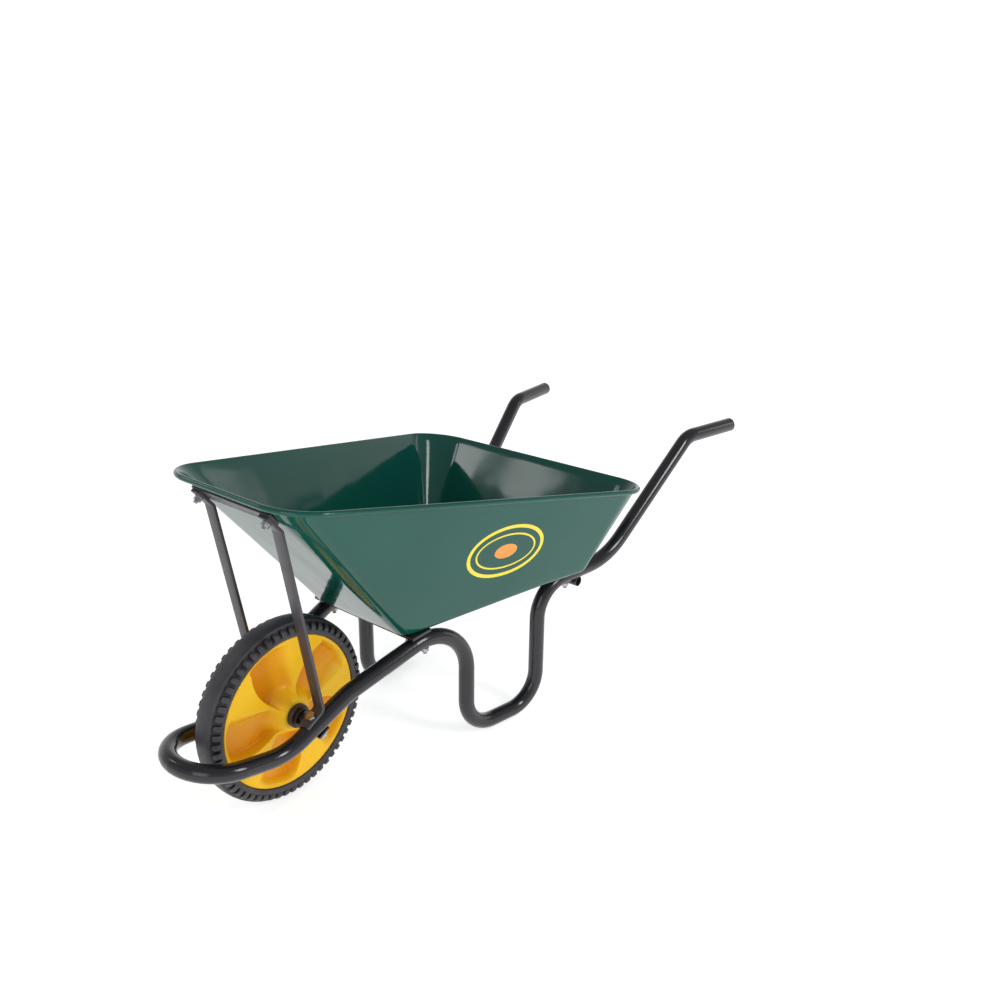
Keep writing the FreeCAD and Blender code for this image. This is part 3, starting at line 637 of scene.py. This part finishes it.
# A hexagon's faces are turned off outside CROWN_SHARE of half its flats. HAIR is the least step
# between two rows of points.
CROWN_SHARE, HAIR = 1.03, 0.00001


def hexagon(flats, middle, both_faces):
    """Widens points at the flats to a hexagon. Its corners are turned off at 30 degrees on the
    face below the middle height, and on the one above it too where both_faces is true."""
    def shape(radius, z, angle):
        if radius < flats / 2 - HAIR:
            return radius, z
        sixth = math.pi / 3
        out = (flats / 2) / math.cos((angle % sixth) - sixth / 2)
        lower = max(0.0, out - flats / 2 * CROWN_SHARE) * math.tan(math.radians(30))
        if z < middle:
            return out, z + lower
        return out, z - lower if both_faces else z
    return shape


def nut_mesh(name, flats, height, bore):
    h, lead_in = height / 2, 0.0006
    profile = [(bore, -h + lead_in), (bore * 1.12, -h), (flats * 0.46, -h), (flats / 2, -h + HAIR),
               (flats / 2, h - HAIR), (flats * 0.46, h), (bore * 1.12, h), (bore, h - lead_in)]
    rings = turned(profile, 72, hexagon(flats, 0.0, True))
    return facing_out(grid_mesh(name, rings, closed_profile=True))


def washer_mesh(name, outer, bore, thick):
    h, soft = thick / 2, 0.00025
    profile = [(bore, -h), (outer - soft, -h), (outer, -h + soft),
               (outer, h - soft), (outer - soft, h), (bore, h)]
    return facing_out(grid_mesh(name, turned(profile), closed_profile=True))


# The thread's depth is a share of its pitch.
THREAD_DEPTH, ROWS_PER_PITCH = 0.6, 6


def bolt_mesh(name, head, shank, pitch, length, threaded):
    """A bolt along +Z from its head at the bottom; head is a list of (radius, z) points from
    the axis outwards, with an optional hexagon, and the last stretch is threaded. The thread
    deepens over its first quarter and is shallower again at the tip."""
    profile, shape = head
    loops = turned(profile, TURN_STEPS, shape)
    start = length - threaded
    loops += turned([(shank, profile[-1][1] + 0.0001), (shank, start)])
    rows = int(threaded / pitch * ROWS_PER_PITCH)
    for row in range(rows + 1):
        z = start + threaded * row / rows
        fade = min(1.0, 4 * row / rows, 6 * (rows - row) / rows + 0.5)
        ring = []
        for s in range(TURN_STEPS):
            phase = (z / pitch - s / TURN_STEPS) % 1.0
            radius = shank - THREAD_DEPTH * pitch * (1 - abs(2 * phase - 1)) * fade
            angle = 2 * math.pi * s / TURN_STEPS
            ring.append(Vector((radius * math.cos(angle), radius * math.sin(angle), z)))
        loops.append(ring)
    loops += turned([(shank * 0.78, length + 0.0002)])
    return facing_out(grid_mesh(name, loops, caps=(0, len(loops) - 1)))


def group_input(tree, name, kind, value=None):
    socket = tree.interface.new_socket(name, in_out="INPUT", socket_type=kind)
    if value is not None:
        socket.default_value = value


def fastener_tree():
    """Sets one fastener on every point, its axis along the point's facing, each turned by chance."""
    tree = bpy.data.node_groups.new("set_fasteners", "GeometryNodeTree")
    group_input(tree, "Seats", "NodeSocketGeometry")
    group_input(tree, "Fastener", "NodeSocketObject")
    group_input(tree, "Finish", "NodeSocketMaterial")
    group_input(tree, "Size", "NodeSocketFloat", 1.0)
    group_input(tree, "Seed", "NodeSocketInt", 3)
    tree.interface.new_socket("Result", in_out="OUTPUT", socket_type="NodeSocketGeometry")
    given = node(tree, "NodeGroupInput")
    handed = node(tree, "NodeGroupOutput")
    shape = node(tree, "GeometryNodeObjectInfo", transform_space="ORIGINAL")
    facing = node(tree, "GeometryNodeInputNamedAttribute", data_type="FLOAT_VECTOR")
    facing.inputs["Name"].default_value = "facing"
    aim = node(tree, "FunctionNodeAlignRotationToVector", axis="Z")
    chance = node(tree, "FunctionNodeRandomValue", data_type="FLOAT")
    chance.inputs[3].default_value = 2 * math.pi
    spin = node(tree, "FunctionNodeAxisAngleToRotation")
    both = node(tree, "FunctionNodeRotateRotation", rotation_space="LOCAL")
    place = node(tree, "GeometryNodeInstanceOnPoints")
    real = node(tree, "GeometryNodeRealizeInstances")
    paint = node(tree, "GeometryNodeSetMaterial")
    join(tree, given.outputs["Fastener"], shape.inputs["Object"])
    join(tree, facing.outputs["Attribute"], aim.inputs["Vector"])
    join(tree, given.outputs["Seed"], chance.inputs["Seed"])
    join(tree, chance.outputs[1], spin.inputs["Angle"])
    join(tree, aim.outputs["Rotation"], both.inputs["Rotation"])
    join(tree, spin.outputs["Rotation"], both.inputs["Rotate By"])
    join(tree, given.outputs["Seats"], place.inputs["Points"])
    join(tree, shape.outputs["Geometry"], place.inputs["Instance"])
    join(tree, both.outputs["Rotation"], place.inputs["Rotation"])
    join(tree, given.outputs["Size"], place.inputs["Scale"])
    join(tree, place.outputs["Instances"], real.inputs["Geometry"])
    join(tree, real.outputs["Geometry"], paint.inputs["Geometry"])
    join(tree, given.outputs["Finish"], paint.inputs["Material"])
    join(tree, paint.outputs["Geometry"], handed.inputs["Result"])
    return tree


def set_input(modifier, tree, name, value):
    """Sets a modifier's input, which is found by its name, through its identifier."""
    for item in tree.interface.items_tree:
        if item.item_type == "SOCKET" and item.in_out == "INPUT" and item.name == name:
            modifier[item.identifier] = value


set_fasteners = fastener_tree()


def fastened(piece_name, sets, replaced, material):
    """One piece with every fastener of a CAD node; sets holds (mesh, seats) for each kind."""
    merged = bmesh.new()
    for mesh, seats in sets:
        dots = bpy.data.meshes.new("seats")
        dots.from_pydata([middle for middle, _ in seats], [], [])
        facing = dots.attributes.new("facing", "FLOAT_VECTOR", "POINT")
        facing.data.foreach_set("vector", [c for _, axis in seats for c in axis])
        holder = new_object("seats", dots)
        pattern = new_object("pattern", mesh, 35)
        setter = holder.modifiers.new("fasteners", "NODES")
        setter.node_group = set_fasteners
        set_input(setter, set_fasteners, "Fastener", pattern)
        set_input(setter, set_fasteners, "Finish", material)
        result = made_plain(holder, piece_name, 35)
        merged.from_mesh(result.data)
        bpy.data.objects.remove(result)
        bpy.data.objects.remove(pattern)
    whole = bpy.data.meshes.new(piece_name)
    merged.to_mesh(whole)
    merged.free()
    piece = new_object(piece_name, whole, 35)
    whole.materials.append(material)
    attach(piece, "frame")
    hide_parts(replaced)


M8, M10, M12 = 0.004, 0.005, 0.006
M8_PITCH, M10_PITCH = 0.00125, 0.0015
THREAD_PLAY, WASHER_PLAY = 0.00003, 0.0002
NUT_SIZES = {"tray_bolt_nuts": (0.013, M8), "bar_bolt_nuts": (0.013, M8), "stay_top_nuts": (0.013, M8),
             "stay_foot_nuts": (0.016, M10), "axle_nuts": (0.018, M12)}
for name, (flats, thread) in NUT_SIZES.items():
    seats = [seat_of(points, False) for points in loose_solids(name)]
    shape = nut_mesh(name, flats, 2 * seats[0][2], thread + THREAD_PLAY)
    fastened(name + "_set", [(shape, [s[:2] for s in seats])], name, zinc_plate)
for name, thread in (("tray_bolt_washers", M8), ("bar_bolt_washers", M8),
                     ("stay_top_washers", M8), ("stay_foot_washers", M10)):
    seats = [seat_of(points, False) for points in loose_solids(name)]
    shape = washer_mesh(name, seats[0][3], thread + WASHER_PLAY, 2 * seats[0][2])
    fastened(name + "_set", [(shape, [s[:2] for s in seats])], name, zinc_plate)


CENTRE_DOT, HEAD_SOFT = 0.0003, 0.0002
DOME_STEPS = 8


def cup_head(radius, height):
    ball = (radius ** 2 + height ** 2) / (2 * height)
    rim = math.asin(radius / ball)
    dome = []
    for k in range(1, DOME_STEPS + 1):
        angle = rim * k / DOME_STEPS
        dome.append((ball * math.sin(angle), ball - height - ball * math.cos(angle)))
    return [(CENTRE_DOT, -height)] + dome + [(radius * 0.98, 0.0)], None


def sunk_head(thread):
    profile = [(CENTRE_DOT, 0.0), (2 * thread - HEAD_SOFT, 0.0), (2 * thread, HEAD_SOFT), (thread, thread)]
    return profile, None


def hex_head(flats, height):
    profile = [(CENTRE_DOT, -height), (flats * 0.44, -height), (flats / 2, -height + HAIR),
               (flats / 2, -HEAD_SOFT), (flats * 0.47, 0.0)]
    return profile, hexagon(flats, -height / 2, False)


# For each kind: its head, the shank's radius, the pitch and the head's height above its seat.
CUP_R, CUP_HEIGHT = 0.0095, 0.0046
HEX_FLATS, HEX_HEIGHT = 0.016, 0.0064
BOLT_KINDS = {
    "tray_bolts": (cup_head(CUP_R, CUP_HEIGHT), M8, M8_PITCH, CUP_HEIGHT),
    "stay_top_bolts": (cup_head(CUP_R, CUP_HEIGHT), M8, M8_PITCH, CUP_HEIGHT),
    "bar_bolts": (sunk_head(M8), M8, M8_PITCH, 0.0),
    "stay_foot_bolts": (hex_head(HEX_FLATS, HEX_HEIGHT), M10, M10_PITCH, HEX_HEIGHT)}
THREADED, THREADED_SHARE, BOLT_TIP = 0.018, 0.7, 0.0003
for name, (head, shank, pitch, head_height) in BOLT_KINDS.items():
    kinds = {}
    for points in loose_solids(name):
        middle, axis, half, _ = seat_of(points, True)
        kinds.setdefault(round(half, 4), []).append((middle - axis * (half - head_height), axis))
    sets = []
    for half, seats in kinds.items():
        length = 2 * half - head_height
        threaded = min(THREADED, length * THREADED_SHARE)
        sets.append((bolt_mesh(name, head, shank, pitch, length - BOLT_TIP, threaded), seats))
    fastened(name + "_set", sets, name, zinc_plate)

# ---------------------------------------------------------------- axle
# A plain steel rod held still by its nuts in the two brackets, with a short steel
# spacer on each side that keeps the wheel's bush off the bracket.
drawn_steel = finish("drawn_steel", (0.13, 0.13, 0.135), (0.09, 0.09, 0.095), patch=0.02,
                     rough=(0.32, 0.48), grain=0.0006, relief=0.00003, metallic=1.0)
refinish("axle", drawn_steel)
refinish("axle_spacers", drawn_steel)

# ---------------------------------------------------------------- wheel centre
# One moulding of yellow plastic: a rim, five curved spokes that each stand up sharply
# along one edge, the scooped pockets between them, and a hub with a bush in each end.
wheel_yellow = finish("wheel_yellow", (0.96, 0.57, 0.014), (0.93, 0.53, 0.012), patch=0.06,
                      rough=(0.24, 0.34), grain=0.0015, relief=0.00003)
# Painted shade: the wheel is tinted towards dark orange as deep as its pockets go, standing in for the
# shade and the orange light thrown between their walls.
paint_hollow_shade(wheel_yellow, "pocket", (0.74, 0.25, 0.001), strength=0.92)
yellow_shader = wheel_yellow.node_tree.nodes["Principled BSDF"]
yellow_shader.inputs["Specular IOR Level"].default_value = 0.22
yellow_shader.inputs["Subsurface Weight"].default_value = 0.04
yellow_shader.inputs["Subsurface Radius"].default_value = (0.006, 0.003, 0.0005)
yellow_shader.inputs["Subsurface Scale"].default_value = 1.0

axle_low, axle_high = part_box("axle")
AXLE = (axle_low + axle_high) / 2
RIM_R, LIP_HALF = 0.1459, 0.0254
BORE_R, HUB_R, HUB_HALF = 0.014, 0.025, 0.040
CREST, HUB_FOOT = 0.0245, 0.052
SPOKES, SPOKE_ANGLE, SPOKE_END = 5, 148.0, 0.132
# A spoke swings back by these degrees for each millimetre, and millimetre squared, from the hub.
SWING, SWING_GROWTH = 0.08, 0.0011
# Its flat face widens from the hub outwards, in degrees. It falls softly into the pocket on one
# side and crisply on the other.
FLAT_LEAST, FLAT_GROWTH, FLAT_FROM, FLAT_OVER = 4.0, 37.0, 0.028, 0.112
SOFT_FALL, CRISP_FALL = 7.0, 5.0
FULL_DEPTH, FIRST_FALL = 0.0185, 0.72
POCKET_START, POCKET_END = (0.029, 0.058), (0.127, 0.1425)


def eased(low, high, value):
    """0 below low, 1 above high, and a smooth rise between them."""
    share = min(1.0, max(0.0, (value - low) / (high - low)))
    return share * share * (3 - 2 * share)


def spoke_turn(radius):
    """How far the spokes have swung back at that radius, in degrees."""
    out = (min(radius, SPOKE_END) - HUB_R) * 1000
    return -SWING * out - SWING_GROWTH * out * out


def crest_height(radius):
    """The spokes' own face, from the hub's shoulder to the rim's lip."""
    return CREST + (HUB_HALF - CREST) * (1 - eased(HUB_R, HUB_FOOT, radius)) ** 1.5


def pocket_depth(radius, degrees):
    """Share of the full depth below the crest, degrees being counted on from a spoke's sharp edge."""
    wide = FLAT_LEAST + FLAT_GROWTH * min(1.0, max(0.0, (radius - FLAT_FROM) / FLAT_OVER))
    sink = 360.0 / SPOKES - CRISP_FALL
    if degrees < sink:
        bottom = FIRST_FALL + (1.0 - FIRST_FALL) * eased(wide, sink, degrees)
        shape = eased(wide - SOFT_FALL, wide + SOFT_FALL, degrees) * bottom
    else:
        shape = 1.0 - ((degrees - sink) / CRISP_FALL) ** 2
    return shape * eased(*POCKET_START, radius) * (1 - eased(*POCKET_END, radius))


# Rows of one half of the moulding, from the bore to the rim: what each row is part of, its
# radius, and its height from the middle unless the face's own shape gives it.
STEPS, FACE_ROWS, FACE_END = 360, 58, 0.1428
half_rows = [("hub", BORE_R, HUB_HALF - 0.001), ("hub", BORE_R + 0.001, HUB_HALF),
             ("hub", HUB_R - 0.0015, HUB_HALF)]
half_rows += [("face", HUB_R + (FACE_END - HUB_R) * k / FACE_ROWS, None) for k in range(FACE_ROWS + 1)]
half_rows += [("rim", 0.1434, LIP_HALF - 0.0002), ("rim", 0.1440, LIP_HALF),
              ("rim", RIM_R - 0.001, LIP_HALF - 0.0008), ("rim", RIM_R, LIP_HALF - 0.0025)]


def wheel_loop(row, side):
    """One row's ring of points on that side of the wheel, and how deep in a pocket each one is."""
    kind, radius, height = row
    ring, marks = [], []
    for s in range(STEPS):
        turn_on = 360.0 * s / STEPS
        depth = 0.0
        if kind == "face":
            depth = pocket_depth(radius, turn_on % (360.0 / SPOKES))
            level = crest_height(radius) - FULL_DEPTH * depth
        else:
            level = height
        angle = math.radians(SPOKE_ANGLE + turn_on + spoke_turn(radius))
        ring.append(AXLE + Vector((radius * math.cos(angle), side * level, radius * math.sin(angle))))
        marks.append(depth)
    return ring, marks


wheel_rows = [wheel_loop(row, -1) for row in half_rows]
wheel_rows += [wheel_loop(row, 1) for row in reversed(half_rows)]
# Each point's pocket depth decides how much painted shade it takes.
pocket_shade_marks = [mark for _, marks in wheel_rows for mark in marks]
wheel_mesh = grid_mesh("wheel_moulding", [ring for ring, _ in wheel_rows], closed_profile=True)
wheel_mesh = facing_out(with_marks(wheel_mesh, "pocket", pocket_shade_marks))
wheel = new_object("wheel_moulding", wheel_mesh, 38)
wheel_mesh.materials.append(wheel_yellow)
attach(wheel, "wheel")
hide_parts("wheel_centre")

# ---------------------------------------------------------------- tyre
# A thick rubber tyre with a smooth crowned running band and, on each shoulder, a ring of
# sixty rounded lugs that run down onto the side wall. It stretches over the wheel's rim.
tyre_rubber = finish("tyre_rubber", (0.034, 0.032, 0.040), (0.048, 0.045, 0.055), patch=0.03,
                     rough=(0.42, 0.60), grain=0.0012, relief=0.00010, edge=((0.075, 0.072, 0.08), 0.6))
# Painted shade: the tyre is tinted nearly black on the shoulders between the lugs and on the lugs' low
# edges and ends, standing in for the shade in the grooves.
paint_hollow_shade(tyre_rubber, "groove", (0.003, 0.003, 0.004), strength=0.92)
TYRE_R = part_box("tyre")[1].z - AXLE.z
TYRE_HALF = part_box("tyre")[1].y

# Half of the tyre's section: how far in from its outer radius, and how far from its middle.
CROWN_TO_BEAD = [(0.0005, 0.0), (0.0008, 0.008), (0.0018, 0.0145), (0.003, 0.018), (0.0044, 0.0192),
                 (0.0078, 0.0200), (0.0102, 0.0218), (0.0128, 0.0252), (0.0160, 0.0278), (0.0192, 0.0290),
                 (0.0215, 0.0296), (0.0235, 0.0292), (0.0265, 0.0282), (0.0285, 0.0268), (0.0289, 0.0262)]
# The painted groove shade covers the shoulders further than GROOVE_FROM from the middle and less than
# GROOVE_TO in from the outer radius.
GROOVE_FROM, GROOVE_TO = 0.0195, 0.0200
TYRE_STEPS = 240
tyre_half = [(TYRE_R - inwards, out) for inwards, out in CROWN_TO_BEAD]
tyre_profile = [(radius, -out) for radius, out in reversed(tyre_half)] + tyre_half[1:]
tyre_rings, groove_shade_marks = [], []
for radius, out in tyre_profile:
    ring = []
    for s in range(TYRE_STEPS):
        angle = 2 * math.pi * s / TYRE_STEPS
        ring.append(AXLE + Vector((radius * math.cos(angle), out, radius * math.sin(angle))))
    tyre_rings.append(ring)
    in_groove = abs(out) > GROOVE_FROM and radius > TYRE_R - GROOVE_TO
    groove_shade_marks += [1.0 if in_groove else 0.0] * TYRE_STEPS
tyre_carcass = grid_mesh("tyre_carcass", tyre_rings, closed_profile=True)
tyre_carcass = facing_out(with_marks(tyre_carcass, "groove", groove_shade_marks))

# A lug follows the shoulder down along LUG_PATH, measured as the section is. Its rise and its
# width at each step are shares of LUG_RISE and LUG_HALF.
LUG_HALF, LUG_RISE, LUG_ROOT, LUG_TIP = 0.0058, 0.0048, 0.004, 0.3
LUG_PATH = [(0.0098, 0.0212), (0.0104, 0.0222), (0.0120, 0.0244),
            (0.0146, 0.0270), (0.0172, 0.0286), (0.0198, 0.0294)]
RISE_ALONG = [0.72, 0.95, 1.0, 0.95, 0.70, 0.25]
WIDTH_ALONG = [0.35, 0.74, 0.96, 1.0, 1.0, 0.94]
LUG_ACROSS = [-1.0, -0.86, -0.45, 0.45, 0.86, 1.0]
LUG_LIFT = [0.0, 0.88, 1.0, 1.0, 0.88, 0.0]


def lug_mesh():
    """One tread block, at the top of the wheel on the +Y shoulder, round the axle as origin."""
    path = [(TYRE_R - inwards, out) for inwards, out in LUG_PATH]
    rows = []
    for k, (radius, y) in enumerate(path):
        before, after = path[max(0, k - 1)], path[min(len(path) - 1, k + 1)]
        away = Vector((0.0, before[0] - after[0], after[1] - before[1])).normalized()
        row = []
        for across, raised in zip(LUG_ACROSS, LUG_LIFT):
            lifted = LUG_RISE * RISE_ALONG[k] * raised
            spot = Vector((across * WIDTH_ALONG[k] * LUG_HALF, y, radius)) + away * lifted
            spot.y = min(spot.y, TYRE_HALF - 0.0001)
            row.append(spot)
        rows.append(row)
    rows.insert(0, [Vector((across * LUG_TIP * LUG_HALF, path[0][1] - 0.0006, path[0][0] - 0.0002))
                    for across in LUG_ACROSS])
    wide = len(LUG_ACROSS)
    faces = [(r * wide + c, r * wide + c + 1, (r + 1) * wide + c + 1, (r + 1) * wide + c)
             for r in range(len(rows) - 1) for c in range(wide - 1)]
    points = [spot for row in rows for spot in row]
    for corner in (rows[0][0], rows[0][-1], rows[-1][0], rows[-1][-1]):
        points.append(corner - Vector((0.0, LUG_ROOT, LUG_ROOT)))
    base, last = len(rows) * wide, (len(rows) - 1) * wide
    faces.append(tuple(range(wide)) + (base + 1, base))
    faces.append(tuple(range(last, last + wide)) + (base + 3, base + 2))
    faces.append(tuple(r * wide for r in range(len(rows))) + (base + 2, base))
    faces.append(tuple(r * wide + wide - 1 for r in range(len(rows))) + (base + 3, base + 1))
    faces.append((base, base + 1, base + 3, base + 2))
    mesh = bpy.data.meshes.new("lug")
    mesh.from_pydata(points, [], faces)
    # The lug's low edges and its ends take the painted groove shade.
    row_marks = [1.0 - lift for lift in LUG_LIFT]
    marks = [1.0] * wide + row_marks * (len(rows) - 1) + [1.0] * 4
    return facing_out(with_marks(mesh, "groove", marks))


def lug_tree():
    """A ring of lugs round Y on one shoulder, its mirror image half a pitch on, moved to the axle."""
    tree = bpy.data.node_groups.new("ring_of_lugs", "GeometryNodeTree")
    group_input(tree, "Lug", "NodeSocketGeometry")
    group_input(tree, "Count", "NodeSocketInt", 60)
    group_input(tree, "Unevenness", "NodeSocketFloat", 0.02)
    group_input(tree, "Seed", "NodeSocketInt", 11)
    group_input(tree, "Axle", "NodeSocketVector")
    group_input(tree, "Finish", "NodeSocketMaterial")
    tree.interface.new_socket("Result", in_out="OUTPUT", socket_type="NodeSocketGeometry")
    given = node(tree, "NodeGroupInput")
    handed = node(tree, "NodeGroupOutput")
    dots = node(tree, "GeometryNodePoints")
    index = node(tree, "GeometryNodeInputIndex")
    pitch = node(tree, "ShaderNodeMath", operation="DIVIDE")
    pitch.inputs[0].default_value = 2 * math.pi
    angle = node(tree, "ShaderNodeMath", operation="MULTIPLY")
    spin = node(tree, "ShaderNodeCombineXYZ")
    least = node(tree, "ShaderNodeMath", operation="SUBTRACT")
    least.inputs[0].default_value = 1.0
    size = node(tree, "FunctionNodeRandomValue", data_type="FLOAT")
    size.inputs[3].default_value = 1.0
    scale = node(tree, "ShaderNodeCombineXYZ")
    scale.inputs["Y"].default_value = 1.0
    scale.inputs["Z"].default_value = 1.0
    place = node(tree, "GeometryNodeInstanceOnPoints")
    real = node(tree, "GeometryNodeRealizeInstances")
    half = node(tree, "ShaderNodeMath", operation="MULTIPLY")
    half.inputs[1].default_value = 0.5
    half_spin = node(tree, "ShaderNodeCombineXYZ")
    mirror = node(tree, "GeometryNodeTransform")
    mirror.inputs["Scale"].default_value = (1.0, -1.0, 1.0)
    flip = node(tree, "GeometryNodeFlipFaces")
    both = node(tree, "GeometryNodeJoinGeometry")
    move = node(tree, "GeometryNodeTransform")
    last = node(tree, "GeometryNodeRealizeInstances")
    paint = node(tree, "GeometryNodeSetMaterial")
    join(tree, given.outputs["Count"], dots.inputs["Count"])
    join(tree, given.outputs["Count"], pitch.inputs[1])
    join(tree, index.outputs["Index"], angle.inputs[0])
    join(tree, pitch.outputs[0], angle.inputs[1])
    join(tree, angle.outputs[0], spin.inputs["Y"])
    join(tree, given.outputs["Unevenness"], least.inputs[1])
    join(tree, least.outputs[0], size.inputs[2])
    join(tree, given.outputs["Seed"], size.inputs["Seed"])
    join(tree, size.outputs[1], scale.inputs["X"])
    join(tree, dots.outputs["Points"], place.inputs["Points"])
    join(tree, given.outputs["Lug"], place.inputs["Instance"])
    join(tree, spin.outputs["Vector"], place.inputs["Rotation"])
    join(tree, scale.outputs["Vector"], place.inputs["Scale"])
    join(tree, place.outputs["Instances"], real.inputs["Geometry"])
    join(tree, pitch.outputs[0], half.inputs[0])
    join(tree, half.outputs[0], half_spin.inputs["Y"])
    join(tree, real.outputs["Geometry"], mirror.inputs["Geometry"])
    join(tree, half_spin.outputs["Vector"], mirror.inputs["Rotation"])
    join(tree, mirror.outputs["Geometry"], flip.inputs["Mesh"])
    join(tree, flip.outputs["Mesh"], both.inputs["Geometry"])
    join(tree, real.outputs["Geometry"], both.inputs["Geometry"])
    join(tree, both.outputs["Geometry"], move.inputs["Geometry"])
    join(tree, given.outputs["Axle"], move.inputs["Translation"])
    join(tree, move.outputs["Geometry"], last.inputs["Geometry"])
    join(tree, last.outputs["Geometry"], paint.inputs["Geometry"])
    join(tree, given.outputs["Finish"], paint.inputs["Material"])
    join(tree, paint.outputs["Geometry"], handed.inputs["Result"])
    return tree


ring_of_lugs = lug_tree()
lug_holder = new_object("lugs", lug_mesh(), 40)
lug_setter = lug_holder.modifiers.new("lugs", "NODES")
lug_setter.node_group = ring_of_lugs
set_input(lug_setter, ring_of_lugs, "Axle", AXLE)
set_input(lug_setter, ring_of_lugs, "Finish", tyre_rubber)
lugs = made_plain(lug_holder, "tread_lugs", 40)

tyre_work = bmesh.new()
tyre_work.from_mesh(tyre_carcass)
tyre_work.from_mesh(lugs.data)
tyre_mesh = bpy.data.meshes.new("lugged_tyre")
tyre_work.to_mesh(tyre_mesh)
tyre_work.free()
bpy.data.objects.remove(lugs)
tyre = new_object("lugged_tyre", tyre_mesh, 40)
tyre_mesh.materials.append(tyre_rubber)
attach(tyre, "wheel")
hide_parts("tyre")

# ---------------------------------------------------------------- wheel bushes
# Flanged bushes of dark nylon, pushed into both ends of the hub. They turn with the
# wheel on the fixed axle.
dark_nylon = finish("dark_nylon", (0.030, 0.024, 0.024), (0.042, 0.034, 0.033), patch=0.01,
                    rough=(0.40, 0.55), grain=0.0008, relief=0.00005)
for name in ("left_wheel_bush", "right_wheel_bush"):
    refinish(name, dark_nylon)

# ---------------------------------------------------------------- handle plugs
# Short plugs of black plastic, pushed into the open ends of the handles.
black_plastic = finish("black_plastic", (0.014, 0.014, 0.015), (0.020, 0.020, 0.021), patch=0.01,
                       rough=(0.38, 0.50), grain=0.0008, relief=0.00004)
for name in ("left_handle_plug", "right_handle_plug"):
    refinish(name, black_plastic)
